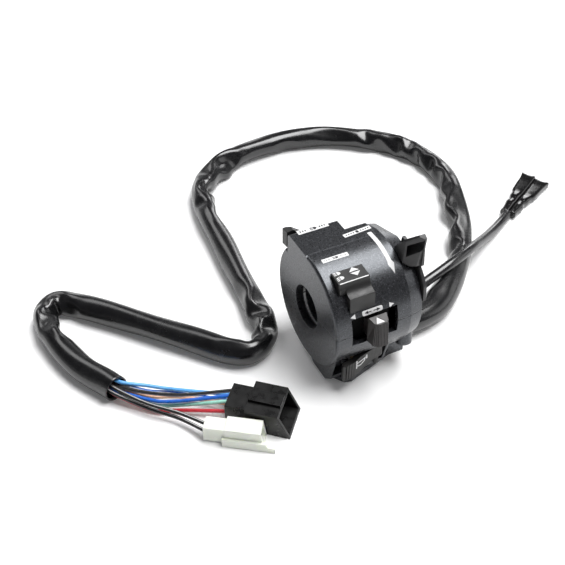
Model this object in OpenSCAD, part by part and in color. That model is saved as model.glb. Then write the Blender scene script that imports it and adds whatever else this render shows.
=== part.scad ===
// Left handlebar switch cluster for a motorbike.
// X runs along the handlebar, from the grip end of the case inboard.
// -Y faces the rider and +Z is up. The origin is on the handlebar axis,
// at the grip end face of the case.

/* [Handlebar] */
// Outside diameter of the handlebar that the case clamps on
bar_d = 22.2; // [21.8:0.1:22.8]

/* [Case] */
// Outside diameter of the round case
case_d = 60; // [59:0.5:62]
// Length of the full-width part of the case
drum_len = 39.5; // [39:0.5:43]
// Length of the tapered inboard end
shoulder_len = 7; // [6:0.5:8]
// How much radius the tapered end loses
shoulder_drop = 1.8; // [1.6:0.2:3]
// Thickness of the moulded outer walls
wall = 2.5; // [2:0.1:3]
// Thickness of the wall round the handlebar
tube_wall = 3; // [2.5:0.1:3.2]
// Height of the handlebar axis above the flat foot
foot_h = 34; // [33.5:0.5:36]
// Width of the flat foot from front to back
foot_w = 12.5; // [10:0.5:14]
// Tilt of the parting plane between the two halves, in degrees
parting_tilt = 6.3; // [4:0.1:8]
// Length of the raised pod over the passing switch
pod_len = 25.6; // [24:0.2:27]
// How far the pod reaches behind the handlebar axis
pod_back = 20.4; // [19.8:0.2:21]

/* [Lights knob] */
// Width of the lights knob along the handlebar
lights_w = 15.8; // [15:0.1:17]
// Height of the lights knob above the case
lights_h = 5; // [4.4:0.1:6]
// Angle that the lights knob slides through, in degrees
lights_travel = 10; // [8:1:11]

/* [Turn signal knob] */
// Width of the turn knob
turn_w = 9.4; // [9:0.2:12]
// Reach of the turn knob beyond the case
turn_reach = 7; // [6:0.2:9]
// Travel of the turn knob to each side
turn_travel = 5; // [4:0.5:5.5]
// Length of the window that the turn knob slides in
window_len = 24; // [23.5:0.5:25]
// Height of the window
window_h = 14.6; // [14:0.2:15]

/* [Horn paddle] */
// Length of the horn paddle from its pin to its ribbed end
horn_len = 22; // [20:0.5:22.5]
// Height of the horn paddle at its ribbed end
horn_h = 11.4; // [10:0.2:11.8]

/* [Passing trigger] */
// Length of the passing trigger from its pin to its finger end
passing_len = 21.4; // [20:0.2:21.6]
// Height of the passing trigger
passing_h = 8.6; // [8:0.2:9]

/* [Choke lever] */
// Outer radius of the choke lever's plate
choke_plate_r = 30.6; // [29.6:0.2:31]
// Distance of the choke lever's tip from the handlebar axis
choke_tip_r = 47; // [44:0.5:50]
// Thickness of the choke lever's plate
choke_t = 1.6; // [1.4:0.1:2.4]

/* [Leads] */
// Outside diameter of the main harness sleeve
sleeve_d = 13; // [12:0.5:13]
// Outside diameter of the clutch switch lead
clutch_lead_d = 5.5; // [5:0.1:5.5]
// Outside diameter of one insulated wire
wire_d = 1.8; // [1.6:0.1:1.8]

/* [Hidden] */
$fn = 64;

// Shared clearances
over = 1;
running = 0.08;
body_gap = 0.3;

// Case
case_r = case_d / 2;
bar_r = bar_d / 2;
tube_r = bar_r + tube_wall;
case_len = drum_len + shoulder_len;
inner_r = case_r - wall;
rim_r = 1.4;
pod_corner = 2.5;
top_back = 13;
bevel_angle = 107;
bevel_drop = 3.6;
top_len = drum_len - 2.5;
pod_floor_z = case_r / 2;
foot_start = 1.8;
foot_front = 17.5;
foot_brow_y = 23;
foot_brow_h = 5;
foot_top_share = 0.9;
foot_top_drop = 13;
foot_back_y = 2;
lip_h = 3;
lip_reach = 25;
lip_x = 4.5;
lip_corner = 3.5;
lip_tip_x = 12.5;
lip_end_x = 38;

// Hub that the choke lever turns on
hub_wall = 3.9;
hub_r = bar_r + hub_wall;
hub_flange = 1.8;
hub_flange_t = 1.4;
washer_t = 0.35;
axial_play = 0.1;
choke_x = case_len + washer_t + axial_play;
hub_flange_x = choke_x + choke_t + axial_play;
hub_end = hub_flange_x + hub_flange_t;

// Case screws: one in front, two behind, square to the parting plane
screw_r = 2.1;
screw_hole_r = 2.2;
screw_head_r = 3.6;
screw_head_h = 2.6;
screw_pocket_r = 3.9;
screw_reach = 9;
cross_w = 1.1;
cross_l = 4.4;
cross_depth = 1.4;
boss_r = 5.2;
front_boss_r = 4.2;
front_boss_end = 22.8;
front_screw = [case_len - front_boss_r - body_gap, -20.5];
rear_screw_y = 20.2;
boss_sunk = 0.6;
rear_screw_xs = [wall + boss_r - boss_sunk, drum_len - boss_r];
rear_head_z = -18;
rear_boss_top = 12;

// Lights knob, by angle above the rider side and by radius
lights_x = 5;
lights_step = 3;
lights_low = 29;
lights_crease = 41;
lights_edge = 53.5;
lights_high = 66;
lights_crease_share = 0.84;
lights_low_share = 0.12;
lights_high_share = 0.3;
lights_back_low = 45;
lights_back_mid = 47;
lights_back_share = 0.33;
scoop_r = 6;
scoop_angle = 47.2;
scoop_lift = 3.8;
stem_w = 7.4;
stem_low = 44;
stem_high = 52;
stem_side = 0.3;
slot_end_gap = 0.8;
carrier_over = 2;
carrier_r0 = 19;
bridge_t = 1.8;
bridge_in = 1;
bridge_place_share = 0.33;
bridge_len_share = 0.5;
plate_t = 1.8;
plate_seat = 0.3;
plate_r = tube_r + plate_seat;
lights_plate_angle = 56;
lights_plate_h = 12;
ball_r = 1.5;
ball_gap = 0.1;
spring_len = 4;
spring_hollow_share = 0.6;
spring_ball_share = 0.8;
rib_t = 2;
rib_r0 = 21;
rib_spare = 2;

// Turn signal switch
window_x = 8.2;
window_z = -3.1;
turn_x = window_x + window_len / 2;
turn_z = -2;
turn_h = 14;
turn_nose_w = 7.2;
turn_lean = 2.5;
turn_top_slope = 2;
turn_neck_w = 7;
turn_neck_h = 9;
turn_rib_w = 0.9;
turn_rib_depth = 0.5;
turn_rib_count = 4;
slider_w = 20;
slider_front = 24.5;
slider_back = 18.6;
slider_low = -4;
slider_high = 10.4;
ball_out_share = 0.2;
rail_z = slider_low - ball_r - ball_gap - ball_r * ball_out_share;
rail_h = 2.2;
rail_len = 28.8;
rail_w = 7;
notch_depth = 0.4;
turn_plate_z = -6;
turn_plate_h = 12.4;
turn_plate_side = 2;
turn_bridge_w = 13.4;
turn_bridge_h = 6;

// Horn paddle
horn_pin_r = 1.5;
horn_pin_x = 26.4;
horn_pin_y = -23;
horn_top = -13.9;
horn_right_h_share = 0.68;
horn_side_gap = 0.4;
recess_x = 2.2;
recess_back = 19.5;
recess_right = 3.4;
recess_deep = 12.9;
barrel_r = 3;
paddle_front_y = 26;
paddle_tip_y = 30.6;
paddle_t = 3.2;
paddle_rib_len = 6.2;
paddle_top_drop = 1.4;
paddle_rise = 3.4;
paddle_grooves = 4;
groove_w = 0.7;
groove_depth = 0.6;
horn_spring_r = 2;
horn_spring_x = 9;
pin_hold = 1.5;
contact_t = 0.5;
contact_w = 7;
contact_h = 3;
contact_pitch = 6;
contact_x = 14;
brow_side = 1.2;
brow_end = horn_pin_x + recess_right + brow_side;
paddle_flat = 1;
paddle_edge = 0.8;
paddle_lean = 0.4;
paddle_foot = 0.6;
paddle_groove_step = 0.5;
spring_seat = 1.3;

// Passing trigger, behind the pod
passing_pin_r = 1.5;
passing_pin_x = pod_len - 4;
passing_pin_y = pod_back + 3.6;
passing_top = 22;
passing_tip_top = case_r - 1;
passing_tip_low = 20;
passing_t = 2.4;
passing_tip = 4;
passing_tip_t = 3.6;
passing_lean = 0.4;
passing_stand = 2.3;
lug_t = 1.8;
nub_w = 4;
nub_h = 4.5;
nub_x = 7;
nub_reach = 3.8;
passing_spring_x = (nub_x + nub_w / 2 + passing_pin_x - barrel_r) / 2;
passing_spring_r = 1.8;
passing_board_y = 14.4;
board_side = 1;
tray_x = 3;
tray_z = passing_top - passing_h - 2 * body_gap;
tray_tip_z = 18.6;
tray_side = 0.8;

// Choke lever
choke_ring_r = 18.6;
choke_low = -12;
choke_root_low = 48;
choke_root_high = 76;
choke_high = 80;
choke_mid_high = 30;
choke_mid_low = 15;
choke_mid_r = 28.4;
fin_lean = 1.5;
choke_root_r = 33.8;
choke_tip_low = 61;
choke_tip_high = 64;
thumb_x = drum_len + 0.5;
thumb_root_r = case_r + 1;
thumb_mid_x = drum_len + 0.8;
thumb_mid_r = 41.4;
thumb_tip_back = 2.2;
thumb_root_low = 51;
thumb_root_high = 72.5;
thumb_low = 49;
thumb_front_y = 16.2;
thumb_plate_y = 24.2;
thumb_wall = 1;
thumb_back = 1.5;
hollow_low = 29.2;
hollow_rise = 5.8;
hollow_high = 35.7;
hollow_top = 40.6;

// Where the leads leave the inboard end
gland_y = -8;
gland_z = -26.3;
gland_flange_r = 7.5;
gland_flange_t = 3;
gland_hole_r = 6;
gland_taper_share = 0.92;
clutch_y = 4;
clutch_z = -23;
clutch_flange_r = 3.6;
clutch_hole_r = 2.6;
clutch_flange_t = 4.5;

// Black connector
black_at = [-47.7, -15.2];
black_turn = -41.5;
black_rear_w = 14.5;
black_rear_len = 10.2;
black_rear_h = 11;
black_w = 19;
black_h = 13;
black_top_len = 15.5;
black_lip = 6.2;
connector_wall = 1.3;
black_key_w = 7;
black_key_h = 1.4;
black_cols = 4;
black_rows = 2;
blade_pitch = 3.8;
blade_w = 1.8;
blade_t = 0.8;
blade_out = 8;
blade_in = 3;

// White connector, with its latch arm along the side that faces the rider
white_at = [-63.8, -23.9];
white_turn = -35;
white_rear_w = 7.2;
white_rear_len = 9.9;
white_rear_h = 8.6;
white_rear_z = 0.6;
white_w = 8.4;
white_len = 16.5;
white_h = 10.2;
white_lip = 1.6;
latch_t = 1.4;
latch_h = 5;
latch_back = 1;
latch_len = 24.5;
latch_tip = 4.4;
latch_tip_h = 3;
white_cols = 2;

// Clutch lead ends: two wires in soft boots over spade terminals
boot_w = 8.2;
boot_h = 4.8;
boot_len = 42;
boot_pitch = 8.7;
neck_w = 4;
neck_pitch = 4.4;
boot_flare_share = 0.44;
boot_body_share = 0.58;
boot_wall = 0.7;
spade_w = 6.3;
spade_t = 0.8;
spade_len = 12;
spade_set_back = 3;

// Routes of the leads, chosen by hand
floor_z = -34;
harness_route = [
    [49.5, -8, -26.3], [62, -7.5, -27.3], [75, -4, -27.5], [86, 3, -27.5], [98, 13, -27.5],
    [110, 25, -27.5], [120, 39, -27.5], [131, 57, -27.5], [140, 75, -27.5], [147, 96, -27.5],
    [147, 117, -27.5], [138, 139, -27.5], [120, 157, -27.5], [98, 170, -27.5], [72, 176, -27.5],
    [46, 174.5, -27.5], [22, 165, -27.5], [5, 148, -27.5], [-2, 124, -27.5], [-4, 98, -27.5],
    [-7, 72, -27.5], [-9, 46, -27.5], [-11.5, 25, -27.5], [-18, 13, -27.5], [-27, 9.5, -27.5],
    [-36, 15, -27.5], [-50, 32, -27.5], [-70, 54.5, -27.5], [-90, 76.5, -27.5], [-103, 85.5, -27.5],
    [-111, 77, -27.5], [-110, 59, -27.5], [-104, 37, -27.5], [-93, 15, -27.5]
];
clutch_route = [
    [51, 4, -23], [62, 5, -22.7], [76, 9, -21.2], [85, 10.8, -19.7], [95, 13, -18.1],
    [106, 16.9, -18.2], [115, 21.3, -20.2], [126, 27.7, -24.3], [140, 36, -28.8], [152, 43, -31.1],
    [162, 48.6, -31.2]
];
sleeve_end = [-93, 15, -27.5];
sleeve_heading = -71;
clutch_end = [162, 48.6, -31.2];
clutch_heading = 29;

// Each wire: side and height on the sleeve's end, two bend points, side and height at its plug
wire_light_blue_way = [2.2, 3.4, [-79.4, 10.2, -27], [-67.9, 4.4, -29.5], 5.4, 4.5];
wire_white_blue_way = [3.4, 1.4, [-80, 9, -29.2], [-68.4, 4.6, -32], 3, 3];
wire_grey_way = [1.2, 1.3, [-81.4, 6, -26.6], [-66.5, -3.2, -26.4], 4.2, 9];
wire_orange_way = [2.3, -0.7, [-81.2, 6.2, -29.8], [-66.4, 0.2, -31.4], 0.4, 3.4];
wire_dark_blue_way = [0.1, -0.8, [-81.3, 2.6, -28.2], [-71, -4, -27.9], 1.4, 8.4];
wire_mint_way = [1.2, -2.8, [-80.2, 0.9, -30.5], [-69.2, -4.8, -30.6], -1.8, 8];
wire_red_way = [-1.2, -3, [-80.4, -1.2, -32.4], [-69.8, -7, -31.6], -5, 4.6];
wire_black_white_a_way = [-1.1, 1.7, [-83.4, 0.2, -27], [-71.2, -11.6, -28], 1.4, 6.4];
wire_black_white_b_way = [-3, 0.4, [-84, 0.1, -29.6], [-72, -12.4, -30.4], -1.6, 5.4];

// Turns what is drawn in the YZ plane into a bar that runs along X
module along_bar() {
    rotate([90, 0, 90]) children();
}

// Place on a circle round the handlebar, by angle above the rider side
function around(angle, r) = [-r * cos(angle), r * sin(angle)];

module rounded_rect(w, h, r) {
    translate([r, 0]) square([w - 2 * r, h]);
    translate([0, r]) square([w, h - 2 * r]);
    for (x = [r, w - r], y = [r, h - r]) translate([x, y]) circle(r);
}

// Sector of a disc between two angles above the rider side
module sector(r, low, high) {
    far = 2 * r;
    mid = (low + high) / 2;
    intersection() {
        circle(r);
        polygon([[0, 0], around(low, far), around(mid, far), around(high, far)]);
    }
}

// Route helpers for the leads
function unit(v) = v / norm(v);
function heading(angle) = [cos(angle), sin(angle), 0];
function way(path, i, first, last) =
    i == 0 ? first : i == len(path) - 1 ? last : unit(path[i + 1] - path[i - 1]);
function ring(path, i, r, sides, first, last) =
    let (t = way(path, i, first, last), s = unit(cross(t, [0, 0, 1])), u = cross(s, t))
    [for (k = [0:sides - 1]) path[i] + r * (cos(360 * k / sides) * s + sin(360 * k / sides) * u)];

// Tube along a path, its ends square to what they meet
module lead(path, d, sides, first, last) {
    rings = len(path);
    points = [for (i = [0:rings - 1]) each ring(path, i, d / 2, sides, first, last)];
    skin = [
        for (i = [0:rings - 2], k = [0:sides - 1])
            each [
                [i * sides + k, i * sides + (k + 1) % sides, (i + 1) * sides + k],
                [i * sides + (k + 1) % sides, (i + 1) * sides + (k + 1) % sides, (i + 1) * sides + k]
            ]
    ];
    top = (rings - 1) * sides;
    ends = [[for (k = [sides - 1:-1:0]) k], [for (k = [0:sides - 1]) top + k]];
    polyhedron(points, concat(skin, ends));
}

// Case

module rim_cut() {
    translate([case_r - rim_r, 0]) difference() {
        translate([0, -over]) square([rim_r + over, rim_r + over]);
        translate([0, rim_r]) circle(rim_r);
    }
}

module case_profile() {
    difference() {
        polygon([
            [0, 0], [case_r, 0], [case_r, drum_len],
            [case_r - shoulder_drop, case_len], [0, case_len]
        ]);
        rim_cut();
    }
}

module foot_outline() {
    polygon([
        [foot_back_y, -case_r * foot_top_share], [foot_w - foot_front, -foot_h],
        [-foot_front, -foot_h], [-foot_front, 0], [0, 0]
    ]);
}

// Brow under the horn paddle
module brow_outline() {
    polygon([
        [-foot_front + over, -foot_h], [-foot_front, -foot_h],
        [-foot_brow_y, foot_brow_h - foot_h],
        around(-asin(foot_top_drop / case_r), case_r), [-foot_front + over, 0]
    ]);
}

// Lip of the foot that stands forward below the horn paddle
module lip_plan() {
    polygon([
        [lip_x, -foot_front + over], [lip_x, -foot_front], [lip_tip_x - lip_corner, -lip_reach + over],
        [lip_tip_x, -lip_reach], [lip_end_x, -foot_front], [lip_end_x, -foot_front + over]
    ]);
}

module pod_block(inset, start, end, reach = pod_back) {
    top = case_r - inset;
    back = reach - inset;
    corner = pod_corner - inset / 2;
    translate([start, 0, 0]) along_bar() linear_extrude(end - start)
        translate([0, pod_floor_z]) rounded_rect(back, top - pod_floor_z, corner);
}

module hub() {
    along_bar() {
        cylinder(r = hub_r, h = hub_flange_x + over / 2);
        translate([0, 0, hub_flange_x]) cylinder(r = hub_r + hub_flange, h = hub_flange_t);
    }
}

// Things that stand square to the parting plane
module on_parting() {
    rotate([-parting_tilt, 0, 0]) children();
}

module screw_bosses() {
    on_parting() {
        for (x = rear_screw_xs) translate([x, rear_screw_y, -case_r])
            cylinder(r = boss_r, h = case_r + rear_boss_top);
    }
}

module front_boss() {
    on_parting() translate([front_screw[0], front_screw[1], -front_boss_end])
        cylinder(r = front_boss_r, h = front_boss_end + screw_reach + over);
}

// Flat bevel across the top of the shoulder, behind the choke lever
module shoulder_bevel() {
    rotate([-bevel_angle, 0, 0]) linear_extrude(2 * case_r, center = true) polygon([
        [drum_len, -case_r], [case_len, bevel_drop - case_r], [case_len + over, bevel_drop - case_r],
        [case_len + over, -case_r - over], [drum_len, -case_r - over]
    ]);
}

module case_outside() {
    difference() {
        along_bar() rotate_extrude() case_profile();
        shoulder_bevel();
    }
    pod_block(0, 0, pod_len);
    pod_block(0, 0, top_len, top_back);
    translate([foot_start, 0, 0]) along_bar() {
        linear_extrude(case_len - foot_start) foot_outline();
        linear_extrude(brow_end - foot_start) brow_outline();
    }
    translate([0, 0, -foot_h]) linear_extrude(lip_h) lip_plan();
    front_boss();
    hub();
}

module horn_recess(grow) {
    low = horn_top + horn_side_gap - recess_deep - grow;
    translate([recess_x - grow, -case_r - over, low])
        cube([
            horn_pin_x + recess_right - recess_x + 2 * grow,
            case_r + over - recess_back + grow,
            recess_deep + 2 * grow
        ]);
}

module case_inside() {
    difference() {
        union() {
            along_bar() rotate_extrude() polygon([
                [tube_r, wall], [inner_r, wall], [inner_r, drum_len],
                [inner_r - shoulder_drop, case_len - wall], [tube_r, case_len - wall]
            ]);
            difference() {
                pod_block(wall, wall, pod_len - wall);
                along_bar() translate([0, 0, -over]) cylinder(r = tube_r, h = case_len);
            }
        }
        horn_recess(wall);
        passing_tray(wall);
        intersection() {
            screw_bosses();
            along_bar() cylinder(r = case_r, h = case_len);
        }
        front_boss();
    }
}

module screw_cuts() {
    on_parting() {
        for (x = rear_screw_xs) translate([x, rear_screw_y, 0]) {
            translate([0, 0, -case_r]) cylinder(r = screw_hole_r, h = case_r + screw_reach);
            translate([0, 0, -case_r]) cylinder(r = screw_pocket_r, h = case_r + rear_head_z);
        }
        translate([front_screw[0], front_screw[1], 0]) {
            translate([0, 0, -case_r]) cylinder(r = screw_hole_r, h = case_r + screw_reach);
            translate([0, 0, -case_r])
                cylinder(r = screw_head_r + running, h = case_r - front_boss_end + screw_head_h);
        }
    }
}

module turn_window() {
    translate([window_x, -case_r - over, window_z])
        cube([window_len, case_r + over - slider_front, window_h]);
}

module lights_slot() {
    low = stem_low - slot_end_gap;
    high = stem_high + lights_travel + slot_end_gap;
    x = lights_x + lights_step + (lights_w - lights_step - stem_w) / 2 - stem_side;
    translate([x, 0, 0]) along_bar() linear_extrude(stem_w + 2 * stem_side) difference() {
        sector(case_r + over, low, high);
        circle(inner_r - over);
    }
}

module lead_holes() {
    translate([case_len - wall - over, gland_y, gland_z]) rotate([0, 90, 0])
        cylinder(r = gland_hole_r, h = wall + 2 * over);
    translate([case_len - wall - over, clutch_y, clutch_z]) rotate([0, 90, 0])
        cylinder(r = clutch_hole_r, h = wall + 2 * over);
}

// Tray behind the case that the passing trigger lies in, shallower under its finger end
module passing_tray(grow) {
    for (corner = [[tray_x, tray_z], [-over, tray_tip_z]])
        translate([corner[0] - grow, pod_back - grow, corner[1] - grow])
            cube([
                passing_pin_x + barrel_r + tray_side - corner[0] + 2 * grow,
                case_r, case_r + over - corner[1] + grow
            ]);
}

// Slot in the pod that the trigger's nub goes through
module passing_slot() {
    translate([nub_x - nub_w / 2 - over, pod_back - wall - over, passing_mid() - nub_h / 2 - over])
        cube([nub_w + 2 * over, wall + 2 * over, nub_h + 2 * over]);
}

function passing_mid() = passing_top - passing_h / 2;

module passing_lugs() {
    for (z = [passing_top + body_gap, passing_top - passing_h - body_gap - lug_t])
        translate([passing_pin_x, 0, z]) linear_extrude(lug_t) {
            translate([0, passing_pin_y]) circle(barrel_r);
            translate([-barrel_r, pod_back - over])
                square([2 * barrel_r, passing_pin_y - pod_back + over]);
        }
}

module case_shell() {
    difference() {
        union() {
            difference() {
                case_outside();
                passing_tray(0);
            }
            passing_lugs();
        }
        case_inside();
        horn_recess(0);
        turn_window();
        lights_slot();
        passing_slot();
        lead_holes();
        screw_cuts();
        along_bar() translate([0, 0, -over]) cylinder(r = bar_r, h = hub_end + 2 * over);
        translate([horn_pin_x, horn_pin_y, horn_pin_low()])
            cylinder(r = horn_pin_r, h = horn_pin_len());
        translate([passing_pin_x, passing_pin_y, passing_pin_low()])
            cylinder(r = passing_pin_r, h = passing_pin_len());
    }
}

module above_parting() {
    on_parting() translate([-over, -2 * case_r, 0])
        cube([hub_end + 2 * over, 4 * case_r, 2 * case_r]);
}

module lights_rib() {
    x = lights_x + lights_w + body_gap + ball_r + ball_gap;
    translate([x, 0, 0]) along_bar() linear_extrude(rib_t) difference() {
        sector(inner_r + wall / 2, stem_low - rib_spare, stem_high + lights_travel + rib_spare);
        circle(rib_r0);
    }
}

module turn_rail() {
    difference() {
        translate([turn_x - rail_len / 2, -slider_front - wall, rail_z - rail_h])
            cube([rail_len, rail_w, rail_h]);
        for (k = [-1:1]) translate([turn_x + k * turn_travel, 0, rail_z + ball_r - notch_depth])
            rotate([90, 0, 0]) cylinder(r = ball_r, h = case_r);
    }
}

module upper_case() {
    color([0.16, 0.17, 0.19]) {
        intersection() {
            case_shell();
            above_parting();
        }
        lights_rib();
    }
}

module lower_case() {
    color([0.17, 0.18, 0.2]) {
        difference() {
            case_shell();
            above_parting();
        }
        turn_rail();
    }
}

module case_screw(head_z, length) {
    difference() {
        union() {
            cylinder(r = screw_r, h = length);
            translate([0, 0, -screw_head_h]) cylinder(r = screw_head_r, h = screw_head_h);
        }
        for (a = [0, 90]) rotate([0, 0, a])
            translate([-cross_l / 2, -cross_w / 2, -screw_head_h - over])
                cube([cross_l, cross_w, cross_depth + over]);
    }
}

module case_screws() {
    front_z = screw_head_h - front_boss_end;
    color([0.72, 0.6, 0.3]) on_parting() {
        for (x = rear_screw_xs) translate([x, rear_screw_y, rear_head_z])
            case_screw(rear_head_z, screw_reach - over - rear_head_z);
        translate([front_screw[0], front_screw[1], front_z])
            case_screw(front_z, screw_reach - over - front_z);
    }
}

// Lights switch

module lights_body(x, w, outline) {
    translate([x, 0, 0]) along_bar() linear_extrude(w) difference() {
        polygon(outline);
        circle(case_r + body_gap);
    }
}

module lights_knob() {
    base = case_r - over;
    top = case_r + lights_h;
    legend = [
        around(lights_back_low, base), around(lights_back_mid, case_r + lights_h * lights_back_share),
        around(lights_edge, top), around(lights_high, case_r + lights_h * lights_high_share),
        around(lights_high, base)
    ];
    thumb = [
        around(lights_low, base), around(lights_low, case_r + lights_h * lights_low_share),
        around(lights_crease, case_r + lights_h * lights_crease_share),
        around(lights_edge, top), around(lights_high, case_r + lights_h * lights_high_share),
        around(lights_high, base)
    ];
    scoop = around(scoop_angle, case_r + lights_h + scoop_lift);
    thumb_w = lights_w - lights_step;
    stem_x = lights_x + lights_step + (thumb_w - stem_w) / 2;
    color([0.1, 0.105, 0.1]) {
        difference() {
            union() {
                lights_body(lights_x, lights_w, legend);
                lights_body(lights_x + lights_step, thumb_w, thumb);
            }
            translate([lights_x - over, scoop[0], scoop[1]]) along_bar()
                cylinder(r = scoop_r, h = lights_w + 2 * over);
        }
        translate([stem_x, 0, 0]) along_bar() linear_extrude(stem_w) difference() {
            sector(case_r + lights_h * lights_back_share, stem_low, stem_high);
            circle(inner_r - body_gap);
        }
    }
}

module lights_carrier() {
    x = lights_x + lights_step / 2;
    w = lights_w - lights_step / 2;
    color([0.75, 0.75, 0.7]) difference() {
        translate([x, 0, 0]) along_bar() linear_extrude(w) difference() {
            sector(inner_r - body_gap, stem_low - carrier_over, stem_high + carrier_over);
            circle(carrier_r0);
        }
        ball_place(x + w - spring_len) rotate([0, 90, 0])
            cylinder(r = ball_r + running, h = spring_len + over);
    }
}

module ball_place(x) {
    mid = around((stem_low + stem_high) / 2, (carrier_r0 + inner_r) / 2);
    translate([x, mid[0], mid[1]]) children();
}

module lights_detent_ball() {
    color([0.8, 0.8, 0.82]) ball_place(lights_x + lights_w + body_gap) sphere(r = ball_r);
}

module coil_sleeve(r, h) {
    difference() {
        cylinder(r = r, h = h);
        translate([0, 0, -over]) cylinder(r = r * spring_hollow_share, h = h + 2 * over);
    }
}

module lights_detent_spring() {
    color([0.7, 0.7, 0.72]) ball_place(lights_x + lights_w - spring_len) rotate([0, 90, 0])
        coil_sleeve(ball_r, spring_len + body_gap - ball_r * spring_ball_share);
}

module lights_bridge() {
    color([0.8, 0.6, 0.3]) translate([lights_x + lights_w * bridge_place_share, 0, 0]) along_bar()
        linear_extrude(lights_w * bridge_len_share) difference() {
            sector(carrier_r0, stem_low + bridge_in, stem_high - bridge_in);
            circle(carrier_r0 - bridge_t);
        }
}

// Flat contact board that sits on the tube round the handlebar
module contact_board(x, length, low, height, angle) {
    rotate([-angle, 0, 0]) translate([x, -plate_r - plate_t, low]) cube([length, plate_t, height]);
}

module lights_contact_plate() {
    color([0.5, 0.33, 0.15])
        contact_board(lights_x, lights_w, -lights_plate_h / 2, lights_plate_h, lights_plate_angle);
}

// Turn signal switch

module turn_plan() {
    nose = case_r + turn_reach;
    base = case_r + body_gap;
    polygon([
        [-turn_w / 2, -base], [-turn_nose_w / 2, -nose], [turn_nose_w / 2, -nose], [turn_w / 2, -base]
    ]);
}

// Grip grooves up the leaning nose
module turn_grooves() {
    pitch = turn_nose_w / turn_rib_count;
    translate([0, -case_r - turn_reach, turn_z]) rotate([-atan(turn_lean / turn_h), 0, 0])
        for (k = [0:turn_rib_count - 1])
            translate([(k - (turn_rib_count - 1) / 2) * pitch - turn_rib_w / 2, -over, -over])
                cube([turn_rib_w, turn_rib_depth + over, turn_h + 2 * over]);
}

module turn_knob() {
    nose = case_r + turn_reach;
    color([0.11, 0.11, 0.105]) translate([turn_x, 0, 0]) {
        difference() {
            translate([0, 0, turn_z]) linear_extrude(turn_h) turn_plan();
            translate([-turn_w, 0, 0]) along_bar() linear_extrude(2 * turn_w) polygon([
                [-case_r, turn_z + turn_h + over], [-case_r, turn_z + turn_h],
                [turn_lean - nose, turn_z + turn_h - turn_top_slope], [-nose, turn_z],
                [-nose - over, turn_z], [-nose - over, turn_z + turn_h + over]
            ]);
            turn_grooves();
        }
        translate([-turn_neck_w / 2, -case_r - body_gap, (slider_low + slider_high) / 2 - turn_neck_h / 2])
            cube([turn_neck_w, case_r + body_gap - slider_front, turn_neck_h]);
    }
}

module turn_slider() {
    mid_y = -(slider_front + slider_back) / 2;
    color([0.8, 0.8, 0.76]) difference() {
        translate([turn_x - slider_w / 2, -slider_front, slider_low])
            cube([slider_w, slider_front - slider_back, slider_high - slider_low]);
        translate([turn_x, mid_y, slider_low - over])
            cylinder(r = ball_r + running, h = spring_len + 2 * over);
    }
}

module turn_detent_ball() {
    mid_y = -(slider_front + slider_back) / 2;
    color([0.8, 0.8, 0.82]) translate([turn_x, mid_y, rail_z + ball_gap + ball_r]) sphere(r = ball_r);
}

module turn_detent_spring() {
    mid_y = -(slider_front + slider_back) / 2;
    low = rail_z + ball_gap + ball_r + ball_r * spring_ball_share;
    color([0.7, 0.7, 0.72]) translate([turn_x, mid_y, low])
        coil_sleeve(ball_r, slider_low + spring_len + over - low);
}

module turn_bridge() {
    mid_z = (slider_low + slider_high) / 2;
    color([0.8, 0.6, 0.3]) translate([turn_x - turn_bridge_w / 2, -slider_back, mid_z - turn_bridge_h / 2])
        cube([turn_bridge_w, slider_back - plate_r - plate_t - body_gap, turn_bridge_h]);
}

module turn_contact_plate() {
    color([0.5, 0.33, 0.15])
        contact_board(window_x - turn_plate_side, window_len + 2 * turn_plate_side,
            turn_plate_z, turn_plate_h, 0);
}

// Horn

function horn_pin_low() = horn_top + horn_side_gap - recess_deep - pin_hold;
function horn_pin_len() = recess_deep + 2 * pin_hold;

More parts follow.
